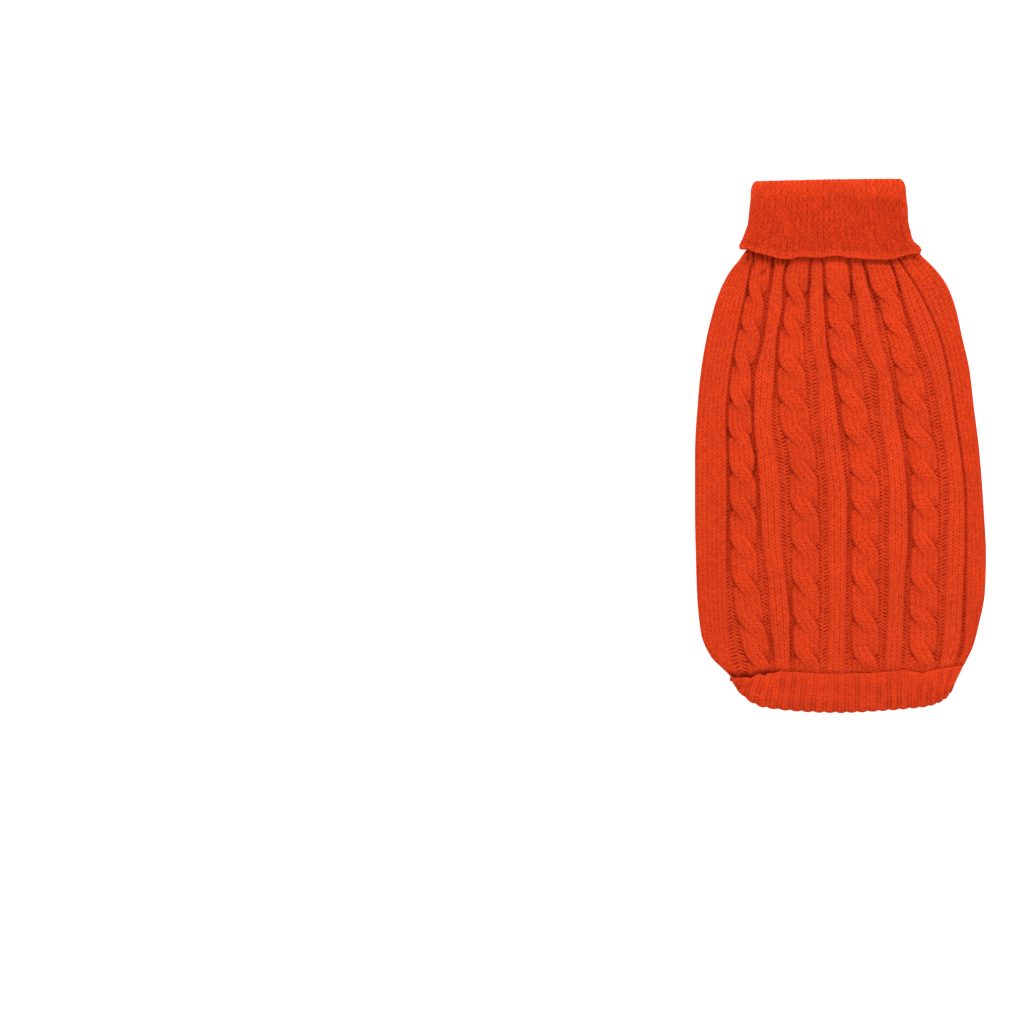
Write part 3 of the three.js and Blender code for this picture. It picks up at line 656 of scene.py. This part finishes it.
def strand_at(number, first, y):
    """Middle of a strand at the heights y, its cable's width to the full one, and its side, lift and dive."""
    side, lift, dive = strand_path(crossings_passed(y) + 0.05 * ripple(number * 60.0, y, 11), first)
    left, right = band_edge(4 * number - 2, y), band_edge(4 * number - 1, y)
    wide = (right - left) / 2 / (STRAND_HALF + STRAND_SWING)
    return (left + right) / 2 + side * STRAND_SWING * wide, wide, side, lift, dive


def build_strand(number, first):
    top_y, low_y = NECK_Y - 0.2, HEM_SEAM_Y + 0.6
    rows = int((top_y - low_y) / ROW * ROW_LINES)
    s = np.linspace(-1, 1, STRAND_WALES * STRAND_LINES + 1)
    u = (s + 1) / 2 * STRAND_WALES
    v_line, v = leaning_rows(rows, ROW_LINES, SLANT * (1 - off_middle(u)))
    scale = (top_y - low_y) / v_line[-1]
    y, y_next = top_y - v * scale, top_y - (v + 0.05) * scale
    x, wide, side, lift, dive = strand_at(number, first, y)
    dx = np.where(lift > 0, strand_at(number, first, y_next)[0] - x, 0.0)
    dy = y_next - y
    away = s * STRAND_HALF * wide / np.hypot(dx, dy)
    x, y = x - away * dy, y + away * dx

    outward = np.sign(s) * side
    crown = np.sqrt(np.clip(1 - np.abs(s) ** (4.6 - 2.4 * outward), 0, 1))
    share, pits = relief_share(y), neck_pits(x, y)
    foot = back_floor(y) + GROUND + 0.1 + share * lift * np.where(lift > 0, OVER_LIFT, UNDER_DIP)
    z = foot + share * (STRAND_RISE * crown + 0.15) + 0.9 * (hem_roll(x, y) - pits)
    points = np.stack([x, laid_y(x, y), z], axis=-1)
    bulge = knit_relief(u, v, np.floor(u) + 50 * number, CABLE_SPLIT) * unevenness(u, v_line, number)
    outer = points + up_normals(points) * (bulge * STITCH * (0.4 + 0.6 * crown))[:, :, None]
    inward = 0.5 - 0.5 * outward * np.abs(s)
    # Painted shade on the strands' low edges and in the crease where a strand dives under the other.
    strand_shade = np.clip(0.4 - 0.8 * crown, 0, 1) + 1.3 * inward * dive
    hollow = np.maximum(strand_shade, pits * PIT_SHADE) + under_collar(x, y) + seam_shade(x, y)

    coarse = (slice(None, None, ROW_LINES), slice(None, None, STRAND_WALES * STRAND_LINES // 2))
    inner = points[coarse].copy()
    inner[:, :, 2] = foot[coarse] - 0.5
    fields = {"stitch": 0.9 + 0.1 * bulge, "hollow": hollow, "loops": 0.9, "split": CABLE_SPLIT}
    inner_fields = {"stitch": 0.4, "hollow": 1.0, "loops": 0.9, "split": CABLE_SPLIT}
    strand_u = u if first else u + STRAND_WALES
    return wall(outer, inner, fields, inner_fields, (strand_u, v), np.zeros((inner[..., 0].size, 2)))


def build_cable(number, material):
    return put_walls(f"cable_{number}", [build_strand(number, first) for first in (True, False)], material)


# Belly: the same outline, plain knit on the side that rests on the surface

def build_belly(material):
    u = np.arange(BELLY_WALES * LINES["plain"] + 1) / LINES["plain"]
    _, v, y = body_rows(BELLY_ROW_LINES, SLANT * (1 - off_middle(u)))
    left, right = along(BODY, "left", y), along(BODY, "right", y)
    x = (left - ARC) + (right - left + 2 * ARC) * (u / BELLY_WALES)
    x, rim = round_edge(x, left, right)
    bulge = knit_relief(u, v, np.floor(u))
    z = belly_top(y) - rim * (body_wall(y) - STITCH * (1 - bulge)) - (1 - rim) * 0.05
    outer = np.stack([x, laid_y(x, y), np.maximum(z, 0.0)], axis=-1)
    fields = {"stitch": 0.9 + 0.1 * bulge, "hollow": 0.0, "loops": 1.0, "split": 0.0}
    piece = put_panel("belly_cloth", outer, inner_side(belly_top), fields, (u, v), material)
    for side in (-1, 1):
        cut_opening(piece, side)
    return piece


def leg_centre(side):
    middle = (along(BODY, "left", LEG["y"]) + along(BODY, "right", LEG["y"])) / 2
    return float(middle + side * LEG["out"]), LEG["y"]


def cut_opening(piece, side):
    """Asks for a leg opening. The solver still refuses it and leaves the belly whole, because the strips
    that close a wall are wound the other way from its two grids."""
    x, y = leg_centre(side)
    count, low, high = 96, -4.0, 9.0
    angles = np.linspace(0, 2 * math.pi, count, endpoint=False)
    ring = np.stack([x + LEG["half_x"] * np.cos(angles), y + LEG["half_y"] * np.sin(angles)], axis=-1)
    ends = [np.column_stack([ring, np.full(count, z)]) for z in (low, high)]
    j = np.arange(count)
    k = (j + 1) % count
    quads = np.stack([j, k, k + count, j + count], axis=-1)
    caps = ([(2 * count, b, a) for a, b in zip(j, k)]
            + [(2 * count + 1, a + count, b + count) for a, b in zip(j, k)])
    points = np.concatenate([*ends, [[x, y, low], [x, y, high]]])
    cutter = put_down("cutter", points, quads, caps, {}, np.zeros((len(points), 2)), piece.data.materials[0])
    cut = piece.modifiers.new("opening", "BOOLEAN")
    cut.operation = "DIFFERENCE"
    cut.solver = "MANIFOLD"
    cut.object = cutter
    evaluated = piece.evaluated_get(bpy.context.evaluated_depsgraph_get())
    mesh = bpy.data.meshes.new_from_object(evaluated)
    piece.modifiers.clear()
    piece.data = mesh
    bpy.data.objects.remove(cutter)


# Flattened ribbed tubes: the hem and the collar. Each is a list of sections, one for each rim of points
# that goes round the tube: the rim, how much relief it has, the row it lies in, and its painted shade.

def tube_stations(ribs, side_ribs, lines):
    """Stations round a flattened tube: place across, side of the tube, angle on its arcs, and rib number."""
    flat, arc = np.arange(ribs * lines), np.arange(side_ribs * lines)
    across, turn = flat / (ribs * lines), math.pi * arc / (side_ribs * lines)
    stretches = (
        (across, 1, 0.0, flat / lines),
        (1.0, 0, math.pi / 2 - turn, ribs + arc / lines),
        (1 - across, -1, 0.0, ribs + side_ribs + flat / lines),
        (0.0, 0, -math.pi / 2 - turn, 2 * ribs + side_ribs + arc / lines),
    )
    columns = np.concatenate([np.stack(np.broadcast_arrays(*stretch)) for stretch in stretches], axis=1)
    return dict(zip(("s", "up", "angle", "rib"), columns))


def row_height(row, s):
    """Y across a row, on a curve through its left, middle and right heights."""
    left, middle, right = (1 - s) * (1 - 2 * s), 4 * s * (1 - s), s * (2 * s - 1)
    return row["leftY"] * left + row["midY"] * middle + row["rightY"] * right


def tube_rim(stations, row, half, inset, lift=0.0):
    """One closed line of points round the tube for a row of its table."""
    s = stations["s"]
    width = row["rightX"] - row["leftX"]
    middle = (row["rightX"] + row["leftX"]) / 2
    x = middle + (row["leftX"] + width * s - middle) * (width - 2 * half) / width
    radius = half - inset
    arc = stations["up"] == 0
    x = np.where(arc, x + radius * np.cos(stations["angle"]), x)
    z = half + np.where(arc, radius * np.sin(stations["angle"]), stations["up"] * radius)
    return np.stack([x, row_height(row, s) + lift, z], axis=-1)


def hem_rib(rib, v):
    """A hem rib: two thin legs side by side, and a broad shallow trough with short purl bars in it."""
    side = off_middle(rib)
    beat = np.abs(np.sin(np.pi * v))
    legs = bell(side - 0.34, 0.17) * (0.85 + 0.15 * beat)
    dip = 0.7 - 0.16 * patches(np.floor(rib), v / 2, 13)
    bars = 0.5 + 0.32 * beat * patches(np.round(rib), v / 2, 4) - 0.16 * patches(np.round(rib), v / 3, 12)
    bars = bars + 0.16 * bell(1 - side, 0.15) - 0.16 * bell(side - 0.66, 0.12)
    return np.maximum(legs, np.where(side < 0.34, dip, bars))


def collar_rib(rib, v):
    """A fine rib of two legs, whose clefts come and go along it. 0 in a cleft, 1 on a leg."""
    side = off_middle(rib)
    edge = bell(1 - side, 0.28) * (0.1 + 0.75 * patches(np.round(rib), v / 0.9, 7))
    cleft = bell(side, 0.26) * 0.7 * patches(np.floor(rib), v / 0.7, 8)
    legs = 0.8 + 0.2 * np.abs(np.sin(np.pi * (v + 0.5 * (1 - side))))
    return np.clip(legs - edge - cleft, 0, 1)


# How far the ribs stand out, how much painted shade their troughs get, and how clearly single loops show
HEM_KNIT = {"profile": hem_rib, "rise": 0.36, "dark": 0.26, "loops": 0.0}
COLLAR_KNIT = {"profile": collar_rib, "rise": 0.5, "dark": 0.14, "loops": 0.35}


def build_tube(name, stations, sections, knit, material):
    """A ring of cloth from its sections."""
    rims, amounts, rows, shades = zip(*sections)
    points, rib = np.array(rims), stations["rib"]
    amount, shade = np.array(amounts, float)[:, None], np.array(shades, float)[:, None]
    v = np.array([np.broadcast_to(row, rib.shape) for row in rows])
    closed = np.concatenate([points[-1:], points, points[:1]], axis=0)
    normals = grid_normals(closed, wrap=True)[1:-1]
    facing = np.sign(points[:, :, 2] - points[:, :, 2].mean()) * np.sign(normals[:, :, 2])
    normals = normals * (1.0 if (facing * amount).sum() > 0 else -1.0)
    height = knit["profile"](rib, v)
    bulge = height * unevenness(rib * 2, v, 5)
    points = points + normals * (bulge * amount * knit["rise"])[:, :, None]
    sway = ripple(points[:, :, 0] * 2.2, points[:, :, 1] * 2.2, 9)
    points[:, :, 0] += np.where(amount > 0, 0.3, 0.0) * sway
    points[:, :, 2] = np.maximum(points[:, :, 2], 0.0)
    # Painted shade: low parts of the ribs take the shaded yarn colour, and the troughs are darkened further.
    relief = 1 - (1 - bulge) * np.clip(0.25 + 0.6 * amount, 0, 1.1)
    troughs = np.where(amount > 0, knit["dark"] * amount * np.clip(1.6 - 2.4 * height, 0, 1), 0.0)
    fields = {"stitch": np.where(amount > 0, relief, 0.5), "hollow": troughs + shade,
              "loops": np.full(v.shape, knit["loops"])}
    uv = np.stack(np.broadcast_arrays(rib, v), axis=-1)
    return put_down(name, points, ring_quads(*v.shape), [], fields, uv, material)


def hem_rim(stations, t, half, inset, lift):
    """One closed line of points round the hem, t = 0 at its seam and 1 at its free edge, and its rows."""
    seam_x = HEM_SEAM[0][0] + (HEM_SEAM[-1][0] - HEM_SEAM[0][0]) * stations["s"]
    free_x = line_at(HEM_RIB_ENDS, seam_x)
    seam_y, free_y = line_at(HEM_SEAM, seam_x), line_at(HEM_FREE, free_x)
    x, y = seam_x + (free_x - seam_x) * t, seam_y + (free_y - seam_y) * t
    radius = half - inset
    side = HEM_SIDE * radius / half
    arc = stations["up"] == 0
    x = x * (1 - HEM_SIDE / np.abs(x).max()) + np.where(arc, side * np.cos(stations["angle"]), 0)
    z = half + np.where(arc, radius * np.sin(stations["angle"]), stations["up"] * radius)
    rows = np.maximum(seam_y - free_y, 4.0) / ROW
    return np.stack([x, y + lift, z], axis=-1), t * rows


def build_hem(material):
    half, shade, steps, straight = HEM_WALL + 0.2, 0.06, 40, 0.93
    stations = tube_stations(HEM_RIBS, 1, HEM_RIB_LINES)
    sections = []

    def add(t, inset, relief, lift=0.0):
        rim, rows = hem_rim(stations, t, half, inset, lift)
        sections.append((rim, relief, rows, shade))

    scallop = -0.8 * (1 - off_middle(stations["rib"]) ** 2)
    for inset, rise in ((1.9, 1.1), (1.1, 0.7), (0.4, 0.3)):
        add(0, inset, 0, np.where(stations["up"] > 0, rise, 0.0))
    for k in range(steps + 1):
        t = straight * k / steps
        relief = min(1.0, 0.3 + 0.06 * k) * (1 + 0.5 * smooth(t, 0.66, 0.86))
        add(t, 0, relief, scallop * smooth(t, 0.7, 0.95))
    for angle in (25, 50, 75, 100, 130, 160):
        turn = math.radians(angle)
        inset = HEM_WALL / 2 * (1 - math.cos(turn))
        add(straight + (1 - straight) * math.sin(turn), inset, 1 - angle / 180, scallop)
    for t in (0.9, 0.6, 0.3, 0.0):
        add(t, HEM_WALL, 0)
    return build_tube("hem_cloth", stations, sections, HEM_KNIT, material)


def build_collar(material):
    half = 2 * RIB_WALL + SEAM + 0.2
    steps, row_step, inside = 80, 0.155, 24
    stations = tube_stations(COLLAR_RIBS, 4, COLLAR_RIB_LINES)
    first = row_at(COLLAR, 0)
    edge_x = first["leftX"] + (first["rightX"] - first["leftX"]) * stations["s"]
    wave = line_at(COLLAR_FREE, edge_x) - row_height(first, stations["s"])
    from_side = np.where(stations["up"] == 0, half * (1 - np.abs(np.cos(stations["angle"]))), half)
    corner = CORNER - np.sqrt(np.clip(CORNER ** 2 - np.clip(CORNER - from_side, 0, CORNER) ** 2, 0, None))
    sections = []

    def add(t, inset, relief, v, rise=0.0):
        edge = wave * (1 - smooth(t, 0.0, 0.4)) - corner * smooth(t, 0.93, 1.0)
        # Painted shade: the collar's middle band is darker than its top and its lower lip.
        shade = 0.34 * smooth(t, 0.06, 0.18) * (1 - smooth(t, 0.84, 1.0))
        sections.append((tube_rim(stations, row_at(COLLAR, t), half, inset, edge + rise), relief, v, shade))

    fold = RIB_WALL + SEAM / 2
    inner_face = 2 * RIB_WALL + SEAM
    for angle in (150, 110, 70, 35):
        turn = math.radians(angle)
        add(0, RIB_WALL / 2 * (1 - math.cos(turn)), 0.5 - angle / 360, -angle / 90, -0.5 * math.sin(turn))
    for k in range(steps + 1):
        add(k / steps, 0, 0.5 + 0.5 * smooth(k, 2, 8), k * row_step)
    for angle in range(15, 180, 15):
        turn = math.radians(angle)
        relief, v = 1 - smooth(angle, 80, 150), steps * row_step + angle / 90
        add(1, fold * (1 - math.cos(turn)), relief, v, FOLD_RISE * math.sin(turn))
    for t in (1.0, 0.6, 0.3):
        add(t, inner_face, 0, inside)
    for inset in (inner_face, RIB_WALL + SEAM):
        sections.append((tube_rim(stations, NECK_SEAM, half, inset), 0, inside, 0.3))
    for t in (0.3, 0.6, 0.98):
        add(t, RIB_WALL + SEAM, 0, inside)
    add(1, fold, 0, inside, FOLD_RISE - RIB_WALL)
    for t in (0.98, 0.6, 0.3):
        add(t, RIB_WALL, 0, inside)
    add(0, RIB_WALL, 0, inside, 0.3)
    return build_tube("collar_cloth", stations, sections, COLLAR_KNIT, material)


def build_cuff(name, side, material):
    x, y = leg_centre(side)
    count = LEG["ribs"] * CUFF_RIB_LINES
    rib = np.arange(count) / CUFF_RIB_LINES
    angle = 2 * np.pi * np.arange(count) / count
    away = off_middle(rib)
    profile = np.sqrt(np.clip(1 - (away / 0.8) ** 4, 0, 1)) * (1 - 0.4 * bell(away, 0.2))
    thick, rows = WALL - 0.35, 15
    under = [(k / rows * 0.9, 0.3, -0.3, k / 3, 0.0) for k in range(rows + 1)]
    edge = [(0.97, 0.5, -0.1, 5.3, 0.7), (1.0, thick * 0.5, 0.0, 5.6, 1.0),
            (0.97, thick * 0.9, 0.1, 6.0, 0.7)]
    over = [(k / rows * 0.9, thick - 0.25, 0.3, k / 3, 0.0) for k in range(rows, -1, -1)]
    rims, stitch, uv = [], [], []
    for depth, z, relief, v, reach in under + edge + over:
        inward = SEAM + depth * LEG["cuff"] + reach * 0.6 * profile
        rims.append(np.stack([x + (LEG["half_x"] - inward) * np.cos(angle),
                              y + (LEG["half_y"] - inward) * np.sin(angle),
                              np.clip(z + relief * profile, 0, WALL - 0.1)], axis=-1))
        stitch.append(profile if relief else np.full(count, 0.5))
        uv.append(np.stack([rib, np.full(count, v)], axis=-1))
    stitch = np.array(stitch)
    # The low parts between the cuff's ribs take the shaded yarn colour as painted shade.
    fields = {"stitch": stitch, "hollow": stitch * 0}
    return put_down(name, rims, ring_quads(len(rims), count), [], fields, uv, material)


# Materials

YARN_LIGHT = (0.665, 0.037, 0.0038, 1)
# the yarn in painted shade, mixed in between the legs, in the holes and in the purl pits
YARN_SHADED = (0.30, 0.0075, 0.0005, 1)
RIB_LIGHT = (0.69, 0.035, 0.0030, 1)
FUZZ_AND_HIGHLIGHT = (0.85, 0.15, 0.05, 1)      # pale loose fibres, and the painted highlight on the legs that lie on top
SHADE_TINT = (0.5, 0.27, 0.10, 1)       # painted shade: the yarn's colour where folds, creases and gutters lie in shade
DEEPEST_SHADE_TINT = (0.42, 0.32, 0.25, 1)   # and the darker painted shade that the deepest pits add to that
RED_SIDE = (0.8, 0.5, 0.2, 1)     # the yarn varies from fibre to fibre between a redder
PALE_SIDE = (1.2, 1.5, 1.9, 1)    # and a paler colour
NAP = 1100.0                      # scales of the noise, finest first: the nap of the yarn's surface,
FIBRES = 900.0                    # its fibres' colour,
HOLE_SHADE = 420.0                     # how dark the painted shade in single holes is
CLOUDS = 45.0                     # and broad light and dark patches


def feed(tree, socket, value):
    """Links another node's output to an input, or sets the input's value."""
    if isinstance(value, bpy.types.NodeSocket):
        tree.links.new(value, socket)
    else:
        socket.default_value = value


def blend(tree, kind, factor, first, second):
    mix = tree.nodes.new("ShaderNodeMix")
    mix.data_type = "RGBA"
    mix.blend_type = kind
    for key, value in (("Factor", factor), ("A", first), ("B", second)):
        feed(tree, mix.inputs[key], value)
    return mix.outputs["Result"]


def reckon(tree, operation, *values):
    node = tree.nodes.new("ShaderNodeMath")
    node.operation = operation
    for slot, value in enumerate(values):
        feed(tree, node.inputs[slot], value)
    return node.outputs[0]


def spread(tree, value, *ranges):
    """A value's range mapped on another: from low, from high, to low, to high."""
    node = tree.nodes.new("ShaderNodeMapRange")
    for key, number in zip(("Value", "From Min", "From Max", "To Min", "To Max"), (value, *ranges)):
        feed(tree, node.inputs[key], number)
    return node.outputs["Result"]


def field(tree, name):
    node = tree.nodes.new("ShaderNodeAttribute")
    node.attribute_name = name
    return node.outputs["Fac"]


def noise(tree, scale, roughness=0.5):
    node = tree.nodes.new("ShaderNodeTexNoise")
    node.inputs["Scale"].default_value = scale
    node.inputs["Detail"].default_value = 3.0
    node.inputs["Roughness"].default_value = roughness
    tree.links.new(tree.nodes["place"].outputs["Object"], node.inputs["Vector"])
    return node.outputs["Fac"]


def stitch_marks(tree):
    """From the stitch coordinates: 1 in the holes beside and between the legs, -1 where legs lie on top. It
    places the painted shade in the holes and the painted highlight on the legs.
    """
    parts = tree.nodes.new("ShaderNodeSeparateXYZ")
    tree.links.new(tree.nodes["place"].outputs["UV"], parts.inputs[0])
    across = reckon(tree, "MULTIPLY_ADD", reckon(tree, "FRACT", parts.outputs["X"]), 2.0, -1.0)
    signed = reckon(tree, "MULTIPLY_ADD", reckon(tree, "ABSOLUTE", across), 2.0, -1.0)
    beat = reckon(tree, "COSINE", reckon(tree, "MULTIPLY", parts.outputs["Y"], 2 * math.pi))
    loops = reckon(tree, "MULTIPLY", signed, reckon(tree, "MULTIPLY_ADD", beat, 0.62, 0.3))
    twice = reckon(tree, "MULTIPLY_ADD", reckon(tree, "MULTIPLY", signed, signed), 0.6, -0.3)
    split = reckon(tree, "MULTIPLY", twice, field(tree, "split"))
    return reckon(tree, "MULTIPLY_ADD", loops, field(tree, "loops"), split)


def knit_colour(tree, nap, light, deep):
    """The yarn's colour: painted shade between the legs and in the holes, a painted highlight and fuzz on the
    legs on top, painted shade in folds, pits and creases, then clouds and single fibres.
    """
    marks, hollow = stitch_marks(tree), field(tree, "hollow")
    # Painted shade in the holes beside and between the legs, unevenly dark from hole to hole.
    uneven = spread(tree, noise(tree, HOLE_SHADE), 0.3, 0.7, 0.5, 1.5)
    level = reckon(tree, "MULTIPLY", field(tree, "loops"), 0.3)
    holes = reckon(tree, "MULTIPLY", reckon(tree, "MULTIPLY_ADD", marks, 0.3, level), uneven)
    clouds = spread(tree, noise(tree, CLOUDS), 0.3, 0.7, 0.94, 1.06)
    fibres = spread(tree, noise(tree, FIBRES, 0.75), 0.3, 0.7, 0.0, 1.0)
    # Painted shade: low stitches take the shaded yarn colour.
    colour = blend(tree, "MIX", field(tree, "stitch"), deep, light)
    for kind, factor, other in (
        # painted highlight on the legs that lie on top
        ("MIX", spread(tree, marks, -1.0, 1.0, 0.18, 0.0), FUZZ_AND_HIGHLIGHT),
        # painted shade in the holes
        ("MIX", holes, deep),
        ("MIX", spread(tree, nap, 0.42, 0.75, 0.0, 0.08), FUZZ_AND_HIGHLIGHT),
        # painted shade: darker in gutters, folds, pits, creases and under the collar's edge
        ("MULTIPLY", spread(tree, hollow, 0.0, 1.0, 0.0, 1.0), SHADE_TINT),
        ("MULTIPLY", spread(tree, hollow, 1.0, 2.0, 0.0, 1.0), DEEPEST_SHADE_TINT),
        ("MULTIPLY", 1.0, clouds),
        ("MULTIPLY", 1.0, blend(tree, "MIX", fibres, RED_SIDE, PALE_SIDE)),
    ):
        colour = blend(tree, kind, factor, colour, other)
    return colour


def knit_material(name, light, deep):
    """Matt acrylic yarn with a fine nap and a soft sheen."""
    material = bpy.data.materials.new(name)
    material.use_nodes = True
    tree = material.node_tree
    tree.nodes.clear()
    tree.nodes.new("ShaderNodeTexCoord").name = "place"
    out = tree.nodes.new("ShaderNodeOutputMaterial")
    shader = tree.nodes.new("ShaderNodeBsdfPrincipled")
    tree.links.new(shader.outputs[0], out.inputs[0])
    for key, value in (("Roughness", 0.92), ("Specular IOR Level", 0.06), ("Sheen Weight", 0.15),
                       ("Sheen Roughness", 0.5), ("Sheen Tint", (1.0, 0.35, 0.2, 1.0))):
        shader.inputs[key].default_value = value
    nap = noise(tree, NAP, 0.65)
    tree.links.new(knit_colour(tree, nap, light, deep), shader.inputs["Base Color"])
    bump = tree.nodes.new("ShaderNodeBump")
    bump.inputs["Strength"].default_value = 0.2
    bump.inputs["Distance"].default_value = 0.0003
    tree.links.new(nap, bump.inputs["Height"])
    tree.links.new(bump.outputs["Normal"], shader.inputs["Normal"])
    return material


# Pieces

knit_cloth = knit_material("knit_cloth", YARN_LIGHT, YARN_SHADED)
rib_cloth = knit_material("rib_cloth", RIB_LIGHT, YARN_SHADED)

back = build_back(knit_cloth)
cables = [build_cable(number, knit_cloth) for number in (1, 2, 3, 4)]
belly = build_belly(knit_cloth)
hem = build_hem(rib_cloth)
collar = build_collar(rib_cloth)
cuffs = [build_cuff("cuff_cloth_left", -1, rib_cloth), build_cuff("cuff_cloth_right", 1, rib_cloth)]

for piece in (back, belly, hem, collar, *cables, *cuffs):
    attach(piece, "root")
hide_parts("back_panel")
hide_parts("belly_panel")
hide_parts("hem_band")
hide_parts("collar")
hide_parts("cuff_left")
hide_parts("cuff_right")


# Stage, light and camera

PIXEL = 0.6                # millimetres of the laid cloth to one pixel of the picture
FRAME = 1024
CLOTH_MIDDLE = (841.5, 445.0)
LENS = 200.0
SENSOR = 36.0
EYE_LEVEL = 5.0            # height of the cloth that the scale is given for
FLOOR_REACH = 6.0          # metres
FLOOR_DROP = 0.0001


def add_stage():
    floor_mesh = bpy.data.meshes.new("floor")
    corners = [(x * FLOOR_REACH, y * FLOOR_REACH, 0) for x, y in ((-1, -1), (1, -1), (1, 1), (-1, 1))]
    floor_mesh.from_pydata(corners, [], [(0, 1, 2, 3)])
    floor = bpy.data.objects.new("floor", floor_mesh)
    floor.location.z = -FLOOR_DROP
    bpy.context.scene.collection.objects.link(floor)
    pale = bpy.data.materials.new("pale_floor")
    pale.use_nodes = True
    for key, value in (("Base Color", (0.9, 0.9, 0.9, 1)), ("Roughness", 0.9),
                       ("Emission Color", (1, 1, 1, 1)), ("Emission Strength", 0.6)):
        pale.node_tree.nodes["Principled BSDF"].inputs[key].default_value = value
    floor_mesh.materials.append(pale)


def add_light(name, place, size, power):
    light = bpy.data.lights.new(name, "AREA")
    light.shape = "DISK"
    light.size = size
    light.energy = power
    lamp = bpy.data.objects.new(name, light)
    lamp.location = place
    lamp.rotation_euler = Vector(place).to_track_quat("Z", "Y").to_euler()
    bpy.context.scene.collection.objects.link(lamp)


def add_camera():
    data = bpy.data.cameras.new("camera")
    data.lens = LENS
    data.sensor_width = SENSOR
    data.sensor_fit = "AUTO"
    data.clip_end = 50
    camera = bpy.data.objects.new("camera", data)
    middle_x = (FRAME / 2 - CLOTH_MIDDLE[0]) * PIXEL + SHIFT[0]
    middle_y = (CLOTH_MIDDLE[1] - FRAME / 2) * PIXEL + SHIFT[1]
    height = FRAME * PIXEL * LENS / SENSOR + EYE_LEVEL
    camera.location = (middle_x * MM, middle_y * MM, height * MM)
    bpy.context.scene.collection.objects.link(camera)
    bpy.context.scene.camera = camera


add_stage()
add_light("key", (0.45, 1.5, 1.5), 0.7, 32)
add_light("fill", (-1.2, -0.4, 1.8), 1.6, 9)
world = bpy.data.worlds.new("studio")
world.use_nodes = True
world.node_tree.nodes["Background"].inputs[0].default_value = (1, 1, 1, 1)
world.node_tree.nodes["Background"].inputs[1].default_value = 0.66
bpy.context.scene.world = world
bpy.context.scene.view_settings.view_transform = "Standard"
add_camera()
